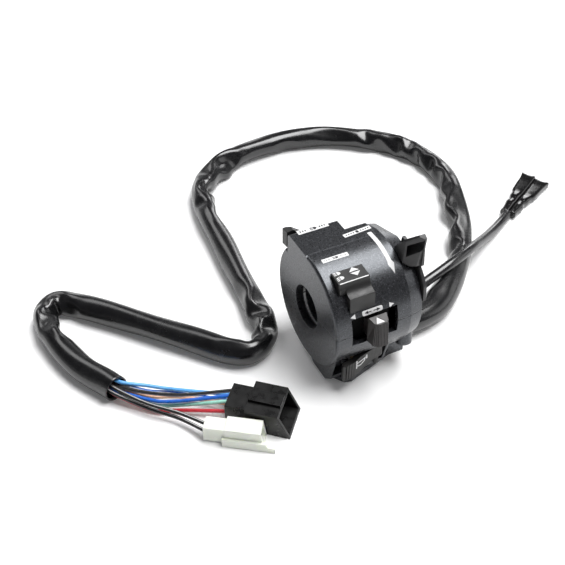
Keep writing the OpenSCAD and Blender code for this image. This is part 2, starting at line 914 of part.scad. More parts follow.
module horn_paddle() {
    tip_x = horn_pin_x - horn_len;
    right_h = horn_h * horn_right_h_share;
    pitch = paddle_rib_len / paddle_grooves;
    plan = [
        [horn_pin_x, -paddle_front_y], [horn_pin_x - barrel_r, -paddle_front_y - paddle_lean],
        [tip_x + paddle_rib_len, -paddle_tip_y + paddle_flat], [tip_x + paddle_flat, -paddle_tip_y],
        [tip_x, -paddle_tip_y + paddle_edge], [tip_x + paddle_foot, -paddle_tip_y + paddle_t],
        [tip_x + paddle_rib_len, -paddle_tip_y + paddle_t + paddle_flat],
        [horn_pin_x - barrel_r, horn_pin_y - paddle_lean], [horn_pin_x, horn_pin_y]
    ];
    color([0.2, 0.2, 0.2]) difference() {
        union() {
            translate([0, 0, horn_top - horn_h]) linear_extrude(horn_h) polygon(plan);
            translate([horn_pin_x, horn_pin_y, horn_top - right_h]) cylinder(r = barrel_r, h = right_h);
        }
        translate([horn_pin_x, horn_pin_y, horn_top - horn_h - over])
            cylinder(r = horn_pin_r + running, h = horn_h + 2 * over);
        translate([0, -case_r - over, 0]) rotate([-90, 0, 0]) linear_extrude(case_r) polygon([
            [tip_x + paddle_rib_len, -horn_top + horn_h + over],
            [tip_x + paddle_rib_len, -horn_top + horn_h],
            [horn_pin_x - barrel_r, -horn_top + right_h],
            [horn_pin_x + barrel_r + over, -horn_top + right_h],
            [horn_pin_x + barrel_r + over, -horn_top + horn_h + over]
        ]);
        translate([0, -case_r - over, 0]) rotate([-90, 0, 0]) linear_extrude(case_r) polygon([
            [tip_x - over, -horn_top - over], [tip_x - over, paddle_top_drop - horn_top],
            [tip_x + paddle_rib_len, paddle_top_drop - horn_top],
            [tip_x + paddle_rib_len + paddle_rise, -horn_top],
            [tip_x + paddle_rib_len + paddle_rise, -horn_top - over]
        ]);
        for (k = [0:paddle_grooves - 1]) {
            deeper = paddle_groove_step * (k + 1) / paddle_grooves;
            translate([tip_x + paddle_flat + k * pitch, -paddle_tip_y - over, horn_top - horn_h - over])
                cube([groove_w, groove_depth + over + deeper, horn_h + 2 * over]);
        }
    }
}

module horn_pin() {
    color([0.75, 0.75, 0.77]) translate([horn_pin_x, horn_pin_y, horn_pin_low()])
        cylinder(r = horn_pin_r, h = horn_pin_len());
}

module horn_spring() {
    front = paddle_tip_y - paddle_t - spring_seat;
    color([0.7, 0.7, 0.72])
        translate([horn_spring_x, -recess_back, horn_top - horn_h / 2]) rotate([90, 0, 0])
        coil_sleeve(horn_spring_r, front - recess_back);
}

module horn_contacts() {
    mid_z = horn_top - horn_h / 2;
    color([0.8, 0.6, 0.3]) for (side = [-1, 1])
        translate([contact_x, -recess_back - contact_t, mid_z + (side * contact_pitch - contact_h) / 2])
            cube([contact_w, contact_t, contact_h]);
}

// Passing switch

function passing_pin_low() = passing_top - passing_h - body_gap - lug_t;
function passing_pin_len() = passing_h + 2 * body_gap + 2 * lug_t;

module passing_trigger() {
    tip_x = passing_pin_x - passing_len;
    inner_y = pod_back + passing_stand;
    low = passing_top - passing_h;
    plan = [
        [passing_pin_x, inner_y - passing_lean], [tip_x + passing_tip, inner_y],
        [tip_x + passing_lean, inner_y - passing_lean], [tip_x, inner_y + passing_tip_t],
        [tip_x + passing_tip / 2, inner_y + passing_tip_t],
        [tip_x + passing_tip, inner_y + passing_t + passing_lean], [passing_pin_x, inner_y + passing_t]
    ];
    color([0.09, 0.09, 0.09]) difference() {
        union() {
            translate([0, 0, low]) linear_extrude(passing_tip_top - low) polygon(plan);
            translate([passing_pin_x, passing_pin_y, low]) cylinder(r = barrel_r, h = passing_h);
            translate([nub_x - nub_w / 2, inner_y + over / 2 - nub_reach, passing_mid() - nub_h / 2])
                cube([nub_w, nub_reach, nub_h]);
        }
        translate([passing_pin_x, passing_pin_y, low - over])
            cylinder(r = passing_pin_r + running, h = passing_h + 2 * over);
        translate([0, case_r + over, 0]) rotate([90, 0, 0]) linear_extrude(case_r) polygon([
            [tip_x + passing_tip, passing_tip_top + over], [tip_x + passing_tip, passing_tip_top],
            [passing_spring_x, passing_top], [passing_pin_x + 2 * barrel_r, passing_top],
            [passing_pin_x + 2 * barrel_r, passing_tip_top + over]
        ]);
        translate([0, case_r + over, 0]) rotate([90, 0, 0]) linear_extrude(case_r) polygon([
            [tip_x - over, low - over], [nub_x - nub_w / 2 - over, low - over],
            [tip_x + passing_tip, passing_tip_low], [tip_x - over, passing_tip_low]
        ]);
    }
}

module passing_pin() {
    color([0.75, 0.75, 0.77]) translate([passing_pin_x, passing_pin_y, passing_pin_low()])
        cylinder(r = passing_pin_r, h = passing_pin_len());
}

module passing_spring() {
    color([0.7, 0.7, 0.72]) translate([passing_spring_x, pod_back, passing_mid()]) rotate([-90, 0, 0])
        coil_sleeve(passing_spring_r, passing_stand - body_gap);
}

module passing_contacts() {
    color([0.5, 0.33, 0.15])
        translate([wall + board_side, passing_board_y, passing_top - passing_h])
            cube([pod_len - 2 * wall - 2 * board_side, plate_t, case_r - wall - passing_top + passing_h]);
}

// Choke lever

module choke_outline() {
    difference() {
        union() {
            circle(choke_ring_r);
            sector(choke_plate_r, choke_mid_high, choke_high);
            polygon([
                [0, 0], around(choke_low, choke_ring_r), around(choke_mid_low, choke_mid_r),
                around(choke_mid_high, choke_plate_r)
            ]);
            polygon([
                around(choke_root_low, choke_ring_r), around(choke_root_low, choke_root_r),
                around(choke_tip_low, choke_tip_r), around(choke_tip_high, choke_tip_r),
                around(choke_root_high, choke_plate_r), around(choke_root_high, choke_ring_r)
            ]);
        }
        circle(hub_r + running);
    }
}

// Thumb block beside the fin, slanted in front and towards its tip, with a finger hollow
module thumb_block() {
    mid = (choke_tip_low + choke_tip_high) / 2;
    difference() {
        intersection() {
            translate([thumb_x, 0, 0]) along_bar() linear_extrude(choke_x - thumb_x + over) polygon([
                around(thumb_root_high, thumb_root_r), around(choke_tip_high, choke_tip_r),
                around(choke_tip_low, choke_tip_r), around(thumb_low, choke_root_r - over),
                around(thumb_root_low, thumb_root_r)
            ]);
            rotate([-mid, 0, 0]) linear_extrude(choke_tip_r, center = true) polygon([
                [thumb_x, 0], [thumb_x, -thumb_root_r], [thumb_mid_x, -thumb_mid_r],
                [choke_x - thumb_tip_back, -choke_tip_r], [choke_x + over, -choke_tip_r],
                [choke_x + over, 0]
            ]);
            linear_extrude(choke_tip_r) polygon([
                [thumb_x - over, 0], [thumb_x - over, -thumb_front_y],
                [choke_x + over, -thumb_plate_y], [choke_x + over, 0]
            ]);
        }
        thumb_hollow();
    }
}

// Finger hollow in the front of the thumb block, its floor rising towards the fin
module thumb_hollow() {
    left = thumb_x + thumb_wall;
    back_low = around(thumb_root_high, thumb_root_r - thumb_back);
    back_high = around(choke_tip_high, choke_tip_r - thumb_back);
    intersection() {
        rotate([90, 0, 0]) linear_extrude(choke_tip_r) polygon([
            [left, hollow_low], [choke_x, hollow_low + hollow_rise], [choke_x, hollow_top],
            [left, hollow_high]
        ]);
        translate([left - over, 0, 0]) along_bar() linear_extrude(choke_x - left + 2 * over) polygon([
            [back_low[0] - thumb_back, back_low[1]], [back_high[0] - thumb_back, back_high[1]],
            [-choke_tip_r, back_high[1]], [-choke_tip_r, back_low[1] - thumb_back],
            [back_low[0] - thumb_back, back_low[1] - thumb_back]
        ]);
    }
}

// Takes the inboard face of the fin back towards its tip
module fin_lean_cut() {
    mid = (choke_tip_low + choke_tip_high) / 2;
    face = choke_x + choke_t;
    rotate([-mid, 0, 0]) linear_extrude(choke_tip_r, center = true) polygon([
        [face, -choke_plate_r - over], [face + over, -choke_plate_r - over],
        [face + over, -choke_tip_r - over], [face - fin_lean, -choke_tip_r - over]
    ]);
}

module choke_lever() {
    color([0.09, 0.09, 0.09]) {
        difference() {
            translate([choke_x, 0, 0]) along_bar() linear_extrude(choke_t) choke_outline();
            fin_lean_cut();
        }
        thumb_block();
    }
}

module choke_spring_washer() {
    color([0.7, 0.7, 0.72]) translate([case_len, 0, 0]) along_bar() difference() {
        cylinder(r = choke_ring_r - body_gap, h = washer_t);
        translate([0, 0, -over]) cylinder(r = hub_r, h = washer_t + 2 * over);
    }
}

// Main harness

module grommet(y, z, flange_r, flange_t, hole_r) {
    translate([case_len - wall, y, z]) rotate([0, 90, 0]) {
        cylinder(r = hole_r, h = wall + over);
        translate([0, 0, wall]) cylinder(r1 = flange_r, r2 = flange_r * gland_taper_share, h = flange_t);
    }
}

module harness_grommet() {
    color([0.08, 0.08, 0.08])
        grommet(gland_y, gland_z, gland_flange_r, gland_flange_t, gland_hole_r);
}

module harness_sleeve() {
    color([0.07, 0.07, 0.07])
        lead(harness_route, sleeve_d, 12, [1, 0, 0], heading(sleeve_heading));
}

// Wire from the sleeve's end to a plug's back: four rings
function wire_route(w, plug, turn) = [
    sleeve_end + w[0] * heading(sleeve_heading + 90) + [0, 0, w[1]],
    w[2], w[3],
    [plug[0], plug[1], floor_z] + w[4] * heading(turn + 90) + [0, 0, w[5]]
];

module wire(w, plug, turn) {
    lead(wire_route(w, plug, turn), wire_d, 8, heading(sleeve_heading), heading(turn));
}

// Connectors

module at_plug(place, turn) {
    translate([place[0], place[1], floor_z]) rotate([0, 0, turn]) children();
}

module black_connector() {
    hood_x = black_rear_len;
    top_x = hood_x + black_top_len;
    lip_x = top_x + black_lip;
    inner_w = black_w - 2 * connector_wall;
    inner_h = black_h - 2 * connector_wall;
    color([0.06, 0.06, 0.06]) at_plug(black_at, black_turn) difference() {
        union() {
            translate([0, -black_rear_w / 2, 0]) cube([black_rear_len + over, black_rear_w, black_rear_h]);
            translate([0, black_w / 2, 0]) rotate([90, 0, 0]) linear_extrude(black_w)
                polygon([[hood_x, 0], [lip_x, 0], [top_x, black_h], [hood_x, black_h]]);
            translate([hood_x, -black_key_w / 2, black_h - over])
                cube([black_top_len, black_key_w, black_key_h + over]);
        }
        translate([hood_x + connector_wall, -inner_w / 2, connector_wall])
            cube([lip_x, inner_w, inner_h]);
    }
}

module blades(cols, rows, x, mid_z) {
    for (i = [0:cols - 1], j = [0:rows - 1])
        translate([
            x - blade_in, (i - (cols - 1) / 2) * blade_pitch - blade_w / 2,
            mid_z + (j - (rows - 1) / 2) * blade_pitch - blade_t / 2
        ])
            cube([blade_in + blade_out, blade_w, blade_t]);
}

module black_connector_blades() {
    color([0.8, 0.8, 0.8]) at_plug(black_at, black_turn)
        blades(black_cols, black_rows, black_rear_len + connector_wall + blade_in, black_h / 2);
}

module white_connector() {
    hood_x = white_rear_len;
    end_x = hood_x + white_len;
    inner_w = white_w - 2 * connector_wall;
    inner_h = white_h - 2 * connector_wall;
    latch_x = hood_x - latch_back;
    tip_x = latch_x + latch_len - latch_tip;
    color([0.86, 0.88, 0.84]) at_plug(white_at, white_turn) {
        difference() {
            union() {
                translate([0, -white_rear_w / 2, white_rear_z])
                    cube([white_rear_len + over, white_rear_w, white_rear_h]);
                translate([0, white_w / 2, 0]) rotate([90, 0, 0]) linear_extrude(white_w)
                    polygon([[hood_x, 0], [end_x + white_lip, 0], [end_x, white_h], [hood_x, white_h]]);
            }
            translate([hood_x + connector_wall, -inner_w / 2, connector_wall])
                cube([white_len + white_lip, inner_w, inner_h]);
        }
        translate([0, -white_w / 2, 0]) rotate([90, 0, 0]) linear_extrude(latch_t) polygon([
            [latch_x, 0], [latch_x + latch_len, 0], [latch_x + latch_len, latch_tip_h],
            [tip_x + latch_back, latch_tip_h], [tip_x, latch_h], [latch_x, latch_h]
        ]);
    }
}

module white_connector_blades() {
    color([0.8, 0.8, 0.8]) at_plug(white_at, white_turn)
        blades(white_cols, 1, white_rear_len + connector_wall + blade_in, white_h / 2);
}

// Clutch switch lead

module clutch_grommet() {
    color([0.08, 0.08, 0.08])
        grommet(clutch_y, clutch_z, clutch_flange_r, clutch_flange_t, clutch_hole_r);
}

module clutch_lead() {
    color([0.07, 0.07, 0.07])
        lead(clutch_route, clutch_lead_d, 8, [1, 0, 0], heading(clutch_heading));
}

module at_clutch_end() {
    translate(clutch_end) rotate([0, 0, clutch_heading]) children();
}

// Plan of one boot, from the lead's end to its mouth
module boot_plan(side) {
    flare = boot_len * boot_flare_share;
    body = boot_len * boot_body_share;
    near = side * neck_pitch / 2;
    far = side * boot_pitch / 2;
    polygon([
        [0, near - neck_w / 2], [flare, far - neck_w / 2], [body, far - boot_w / 2],
        [boot_len, far - boot_w / 2], [boot_len, far + boot_w / 2],
        [body, far + boot_w / 2], [flare, far + neck_w / 2], [0, near + neck_w / 2]
    ]);
}

module clutch_lead_boots() {
    pocket_len = spade_len + spade_set_back;
    pocket_w = boot_w - 2 * boot_wall;
    color([0.06, 0.06, 0.06]) at_clutch_end() for (side = [-1, 1]) difference() {
        translate([0, 0, -boot_h / 2]) linear_extrude(boot_h) boot_plan(side);
        translate([boot_len - pocket_len, side * boot_pitch / 2 - pocket_w / 2, boot_wall - boot_h / 2])
            cube([pocket_len + over, pocket_w, boot_h - 2 * boot_wall]);
    }
}

module clutch_lead_terminals() {
    color([0.8, 0.8, 0.8]) at_clutch_end() for (side = [-1, 1]) {
        x = boot_len - spade_len - spade_set_back;
        y = side * boot_pitch / 2 - spade_w / 2;
        translate([x, y, -spade_t / 2]) cube([spade_len, spade_w, spade_t]);
        for (edge = [0, spade_w - spade_t])
            translate([x, y + edge, -spade_t / 2]) cube([spade_len, spade_t, spade_t * 2]);
    }
}

upper_case();
lower_case();
case_screws();
lights_knob();
lights_carrier();
lights_bridge();
lights_contact_plate();
lights_detent_ball();
lights_detent_spring();
turn_knob();
turn_slider();
turn_bridge();
turn_contact_plate();
turn_detent_ball();
turn_detent_spring();
horn_paddle();
horn_pin();
horn_spring();
horn_contacts();
passing_trigger();
passing_pin();
passing_spring();
passing_contacts();
choke_lever();
choke_spring_washer();
harness_grommet();
harness_sleeve();
color([0.35, 0.6, 0.85]) wire(wire_light_blue_way, black_at, black_turn);  // wire_light_blue
color([0.85, 0.88, 0.95]) wire(wire_white_blue_way, black_at, black_turn);  // wire_white_blue
color([0.4, 0.37, 0.33]) wire(wire_grey_way, black_at, black_turn);  // wire_grey
color([0.9, 0.65, 0.5]) wire(wire_orange_way, black_at, black_turn);  // wire_orange
color([0.1, 0.3, 0.7]) wire(wire_dark_blue_way, black_at, black_turn);  // wire_dark_blue
color([0.6, 0.85, 0.78]) wire(wire_mint_way, black_at, black_turn);  // wire_mint
color([0.75, 0.2, 0.22]) wire(wire_red_way, black_at, black_turn);  // wire_red
color([0.12, 0.12, 0.12]) wire(wire_black_white_a_way, white_at, white_turn);  // wire_black_white_a
color([0.15, 0.15, 0.15]) wire(wire_black_white_b_way, white_at, white_turn);  // wire_black_white_b
black_connector();
black_connector_blades();
white_connector();
white_connector_blades();
clutch_grommet();
clutch_lead();
clutch_lead_boots();
clutch_lead_terminals();
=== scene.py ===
"""Dresses the handlebar switch cluster: finishes, printed symbols, the soft sleeve, wires and boots."""
import math

import bmesh
import bpy
import numpy as np
from mathutils import Matrix, Vector


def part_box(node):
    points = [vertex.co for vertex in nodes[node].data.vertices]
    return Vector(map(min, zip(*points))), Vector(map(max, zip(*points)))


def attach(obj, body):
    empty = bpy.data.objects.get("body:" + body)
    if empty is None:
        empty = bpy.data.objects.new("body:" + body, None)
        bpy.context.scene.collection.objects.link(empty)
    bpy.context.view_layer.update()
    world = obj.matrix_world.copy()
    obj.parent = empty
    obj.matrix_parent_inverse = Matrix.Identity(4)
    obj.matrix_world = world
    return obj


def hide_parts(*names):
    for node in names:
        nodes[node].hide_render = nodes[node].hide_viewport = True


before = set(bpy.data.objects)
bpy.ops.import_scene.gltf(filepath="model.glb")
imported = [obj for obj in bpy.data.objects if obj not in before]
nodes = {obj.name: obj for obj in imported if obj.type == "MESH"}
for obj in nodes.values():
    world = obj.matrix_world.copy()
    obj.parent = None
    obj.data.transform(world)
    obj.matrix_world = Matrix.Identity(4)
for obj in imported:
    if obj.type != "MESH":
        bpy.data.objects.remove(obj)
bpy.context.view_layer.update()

MM = 0.001
CASE_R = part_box("upper_case")[1].z / MM
FLOOR_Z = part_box("lower_case")[0].z / MM

# Camera, fitted to the perspective of the photograph: place and clip in metres, lens in millimetres
CAMERA_AT = Vector((-140.216, -259.938, 277.175)) * MM
CAMERA_RIGHT = Vector((0.8977, -0.4405, 0.0))
CAMERA_UP = Vector((0.2923, 0.5957, 0.7482))
CAMERA_BACK = Vector((-0.3296, -0.6717, 0.6635))
CAMERA_LENS = 54.159
CAMERA_SENSOR = 36
CAMERA_CLIP = (0.01, 20)

# Routes of the leads, in millimetres, the same as in the part's source
HARNESS_ROUTE = [
    (49.5, -8, -26.3), (62, -7.5, -27.3), (75, -4, -27.5), (86, 3, -27.5), (98, 13, -27.5),
    (110, 25, -27.5), (120, 39, -27.5), (131, 57, -27.5), (140, 75, -27.5), (147, 96, -27.5),
    (147, 117, -27.5), (138, 139, -27.5), (120, 157, -27.5), (98, 170, -27.5), (72, 176, -27.5),
    (46, 174.5, -27.5), (22, 165, -27.5), (5, 148, -27.5), (-2, 124, -27.5), (-4, 98, -27.5),
    (-7, 72, -27.5), (-9, 46, -27.5), (-11.5, 25, -27.5), (-18, 13, -27.5), (-27, 9.5, -27.5),
    (-36, 15, -27.5), (-50, 32, -27.5), (-70, 54.5, -27.5), (-90, 76.5, -27.5), (-103, 85.5, -27.5),
    (-111, 77, -27.5), (-110, 59, -27.5), (-104, 37, -27.5), (-93, 15, -27.5),
]
CLUTCH_ROUTE = [
    (51, 4, -23), (62, 5, -22.7), (76, 9, -21.2), (85, 10.8, -19.7), (95, 13, -18.1),
    (106, 16.9, -18.2), (115, 21.3, -20.2), (126, 27.7, -24.3), (140, 36, -28.8), (152, 43, -31.1),
    (162, 48.6, -31.2),
]

# Lights: place and size in metres, power in watts. A large softbox above, a weak fill low on the right, and two
# strips behind, one high in the middle and one low on the right. All of them face one place.
LIT = (0.02, 0.06, 0)
LIGHTS = {
    "softbox": ((0.78, -0.04, 2.2), (1.8, 1.2), 76),
    "fill": ((1.5, -0.5, 0.55), (1.2, 0.7), 3.5),
    "back_strip": ((-0.2, 1.6, 1.7), (0.8, 1.4), 10),
    "side_strip": ((1.58, 1.5, 0.72), (0.5, 1.0), 7),
}

# Surroundings: pale near the horizon behind the object, which fades upwards and towards the front
WORLD_DARK = (0.07, 0.07, 0.075)
WORLD_PALE = (0.6, 0.6, 0.61)
GLOW_HEIGHTS = (0.05, 0.45)
GLOW_DEPTHS = (-0.5, 0.6)
GLOW_IN_FRONT = 0.12

# Floor: half its side in metres, its white, and the little light that it gives off where it is seen
FLOOR_HALF = 4.0
FLOOR_ALBEDO = 0.965
FLOOR_ROUGHNESS = 0.9
FLOOR_SPECULAR = 0.1
BACKGROUND_LIFT = 0.08

# Seam between the case halves: tilt in degrees, half width, and the shares of it where it is black and gone
SEAM_TILT = 6.3
SEAM_HALF = 0.26
SEAM_BLACK_SHARE = 0.5
SEAM_GONE_SHARE = 1.4
# Painted highlight on the edge of an inner wall in the handlebar bore, pale only low down where light from above
# falls: radius and its margins, depths, heights and softness
BORE_R = 11.1
BORE_NEAR, BORE_FAR = 0.1, 0.3
BORE_HIGHLIGHT_DEPTHS = (4.0, 5.2)
BORE_HIGHLIGHT_LOW, BORE_HIGHLIGHT_HIGH = -2, 3
BORE_FADE = 0.1

# Leads: diameters, free ends and plugs in millimetres, headings in degrees from +X
SLEEVE_D = 13.0
CLUTCH_D = 5.5
WIRE_D = 1.8
SLEEVE_END = HARNESS_ROUTE[-1]
SLEEVE_HEADING = -71
CLUTCH_END = CLUTCH_ROUTE[-1]
CLUTCH_HEADING = 29
BLACK_AT, BLACK_TURN = (-47.7, -15.2), -41.5
WHITE_AT, WHITE_TURN = (-63.8, -23.9), -35
# How far a wire goes on into the sleeve and into its plug, and how far soft pieces stay above the floor
WIRE_HIDDEN = 8
WIRE_TUCK = 2
FLOOR_GAP = 0.05

# Each wire: side and height on the sleeve's end, two bend points, side and height at its plug
WIRE_WAYS = {
    "wire_light_blue": (2.2, 3.4, (-79.4, 10.2, -27), (-67.9, 4.4, -29.5), 5.4, 4.5),
    "wire_white_blue": (3.4, 1.4, (-80, 9, -29.2), (-68.4, 4.6, -32), 3, 3),
    "wire_grey": (1.2, 1.3, (-81.4, 6, -26.6), (-66.5, -3.2, -26.4), 4.2, 9),
    "wire_orange": (2.3, -0.7, (-81.2, 6.2, -29.8), (-66.4, 0.2, -31.4), 0.4, 3.4),
    "wire_dark_blue": (0.1, -0.8, (-81.3, 2.6, -28.2), (-71, -4, -27.9), 1.4, 8.4),
    "wire_mint": (1.2, -2.8, (-80.2, 0.9, -30.5), (-69.2, -4.8, -30.6), -1.8, 8),
    "wire_red": (-1.2, -3, (-80.4, -1.2, -32.4), (-69.8, -7, -31.6), -5, 4.6),
    "wire_black_white_a": (-1.1, 1.7, (-83.4, 0.2, -27), (-71.2, -11.6, -28), 1.4, 6.4),
    "wire_black_white_b": (-3, 0.4, (-84, 0.1, -29.6), (-72, -12.4, -30.4), -1.6, 5.4),
}


# Materials

# Where most values of a noise lie, and how finely and how far colour and gloss vary over a surface
NOISE_MIDDLE = (0.3, 0.7)
DRIFT_SCALE = 60
GLOSS_SCALE = 260
GLOSS_UP, GLOSS_DOWN = 0.06, 0.08

# Case paint: two greys of its ground and where they meet, its flakes, a painted highlight on an edge in the bore and
# the seam
PAINT_DARK = (0.0095, 0.0096, 0.0105)
PAINT_PALE = (0.0135, 0.0137, 0.015)
PAINT_MIDDLE = (0.35, 0.65)
PAINT_DRIFT_SCALE = 45
PAINT_PEEL_SCALE = 1100
PAINT_GRAIN_SCALE = 2300
FLAKE_SCALE = 4200
FLAKE_FROM = 0.84
FLAKE_COLOUR = (0.1, 0.104, 0.116)
# Pale colour of the painted highlight in the bore
BORE_HIGHLIGHT_COLOUR = (0.95, 0.95, 0.95)
SEAM_COLOUR = (0.004, 0.004, 0.004)
SEAM_DEPTH = 0.25
PAINT_EDGE = 0.35
PAINT_ROUGHNESS = (0.25, 0.36)
PAINT_SPECULAR = 0.74
PAINT_TINT = (0.9, 0.94, 1, 1)
GRAIN_SHARE = 0.06

# Soft PVC: where its haze pales and dulls it, and by how much
HAZE_IN_COLOUR = (0.35, 0.75)
HAZE_IN_GLOSS = (0.3, 0.75)
HAZE_SHARE, HAZE_RISE = 1.5, 0.004
HAZE_UP, HAZE_DOWN = 0.03, 0.06
HAZE_SCALE = 120
RIPPLE_SCALE = 180

# Wires: shades of their ground, gloss, grain and the softness of a tracer line
WIRE_DARKER, WIRE_PALER = 0.86, 1.12
WIRE_DRIFT_SCALE = 500
WIRE_ROUGHNESS = (0.26, 0.4)
WIRE_GLOSS_SCALE = 400
WIRE_GRAIN_SCALE = 900
WIRE_GRAIN_DEPTH = 0.012
STRIPE_SOFTNESS = 1.3

# Ink: the specks where the grain shows through a print
INK_SCALE = 1400
INK_WORN = (0.62, 0.74)
INK_DARKER = 0.6
INK_ROUGHNESS = (0.5, 0.7)


def shader(name):
    """A new node material and its Principled shader."""
    made = bpy.data.materials.new(name)
    made.use_nodes = True
    return made, made.node_tree, made.node_tree.nodes["Principled BSDF"]


def add(tree, kind, **settings):
    """A new shader node with its settings."""
    node = tree.nodes.new(kind)
    for key, value in settings.items():
        setattr(node, key, value)
    return node


def object_place(tree, stretch=(1, 1, 1)):
    """Object coordinates, stretched for brushed or drawn surfaces."""
    place = add(tree, "ShaderNodeTexCoord")
    mapping = add(tree, "ShaderNodeMapping")
    mapping.inputs["Scale"].default_value = stretch
    tree.links.new(place.outputs["Object"], mapping.inputs["Vector"])
    return mapping.outputs["Vector"]


def noise(tree, place, scale, detail=3, roughness=0.5):
    """Values of a noise texture."""
    node = add(tree, "ShaderNodeTexNoise")
    node.inputs["Scale"].default_value = scale
    node.inputs["Detail"].default_value = detail
    node.inputs["Roughness"].default_value = roughness
    tree.links.new(place, node.inputs["Vector"])
    return node.outputs["Fac"]


def spread(tree, value, low, high, to_low, to_high):
    """Maps a value from one range to another, clamped."""
    node = add(tree, "ShaderNodeMapRange")
    for key, number in (("From Min", low), ("From Max", high), ("To Min", to_low), ("To Max", to_high)):
        node.inputs[key].default_value = number
    tree.links.new(value, node.inputs["Value"])
    return node.outputs["Result"]


def maths(tree, operation, *values):
    """Result of a Math node on values that are sockets or plain numbers."""
    node = add(tree, "ShaderNodeMath", operation=operation)
    for socket, value in zip(node.inputs, values):
        if isinstance(value, (int, float)):
            socket.default_value = value
        else:
            tree.links.new(value, socket)
    return node.outputs[0]


def shade(colour, share, rise=0.0):
    """The colour lighter or darker, and not above white."""
    return tuple(min(1, c * share + rise) for c in colour)


def blend_colours(tree, fac, low, high):
    """Mixes two colours, each a tuple or a socket. The numbers are those of a Mix node's colour sockets."""
    node = add(tree, "ShaderNodeMix", data_type="RGBA")
    tree.links.new(fac, node.inputs[0])
    for socket, colour in ((node.inputs[6], low), (node.inputs[7], high)):
        if isinstance(colour, tuple):
            socket.default_value = (*colour, 1)
        else:
            tree.links.new(colour, socket)
    return node.outputs[2]


def relief(tree, bsdf, height, depth, edge=None):
    """Bump of a real depth, over slightly rounded edges where edge gives their radius."""
    bump = add(tree, "ShaderNodeBump")
    bump.inputs["Strength"].default_value = 1.0
    bump.inputs["Distance"].default_value = depth * MM
    tree.links.new(height, bump.inputs["Height"])
    if edge:
        bevel = add(tree, "ShaderNodeBevel", samples=6)
        bevel.inputs["Radius"].default_value = edge * MM
        tree.links.new(bevel.outputs["Normal"], bump.inputs["Normal"])
    tree.links.new(bump.outputs["Normal"], bsdf.inputs["Normal"])


def moulded(name, colour, rough, grain=900, depth=0.02, vary=0.18, edge=0.25, stretch=(1, 1, 1), metal=0.0,
            specular=0.5):
    """Moulded, cast or plated surface: fine grain, uneven gloss and a slow drift of its colour."""
    made, tree, bsdf = shader(name)
    place = object_place(tree, stretch)
    drift = spread(tree, noise(tree, place, DRIFT_SCALE, detail=4), *NOISE_MIDDLE, 0, 1)
    tree.links.new(blend_colours(tree, drift, shade(colour, 1 - vary), shade(colour, 1 + vary)),
                   bsdf.inputs["Base Color"])
    uneven = noise(tree, place, GLOSS_SCALE)
    tree.links.new(spread(tree, uneven, *NOISE_MIDDLE, rough - GLOSS_UP, rough + GLOSS_DOWN),
                   bsdf.inputs["Roughness"])
    bsdf.inputs["Metallic"].default_value = metal
    bsdf.inputs["Specular IOR Level"].default_value = specular
    relief(tree, bsdf, noise(tree, place, grain, detail=2), depth, edge)
    return made


def seam(tree, place):
    """0 on the seam between the case halves and 1 away from it."""
    tilt = math.radians(SEAM_TILT)
    along = add(tree, "ShaderNodeVectorMath", operation="DOT_PRODUCT")
    along.inputs[1].default_value = (0, math.sin(tilt), math.cos(tilt))
    tree.links.new(place, along.inputs[0])
    off = maths(tree, "ABSOLUTE", along.outputs["Value"])
    return spread(tree, off, SEAM_HALF * SEAM_BLACK_SHARE * MM, SEAM_HALF * SEAM_GONE_SHARE * MM, 0, 1)


def painted_bore_highlight(tree, place, start, end):
    """Mask of the painted highlight in the bore: 1 low on its wall between two depths, where light from above falls,
    and 0 elsewhere.
    """
    parts = add(tree, "ShaderNodeSeparateXYZ")
    tree.links.new(place, parts.inputs["Vector"])
    square = add(tree, "ShaderNodeVectorMath", operation="MULTIPLY")
    square.inputs[1].default_value = (0, 1, 1)
    tree.links.new(place, square.inputs[0])
    away = add(tree, "ShaderNodeVectorMath", operation="LENGTH")
    tree.links.new(square.outputs["Vector"], away.inputs[0])
    inside = spread(tree, away.outputs["Value"], (BORE_R + BORE_NEAR) * MM, (BORE_R + BORE_FAR) * MM, 1, 0)
    after = spread(tree, parts.outputs["X"], (start - BORE_FADE) * MM, (start + BORE_FADE) * MM, 0, 1)
    before = spread(tree, parts.outputs["X"], (end - BORE_FADE) * MM, (end + BORE_FADE) * MM, 1, 0)
    low = spread(tree, parts.outputs["Z"], BORE_HIGHLIGHT_LOW * MM, BORE_HIGHLIGHT_HIGH * MM, 1, 0)
    return maths(tree, "MULTIPLY", maths(tree, "MULTIPLY", after, before), maths(tree, "MULTIPLY", low, inside))


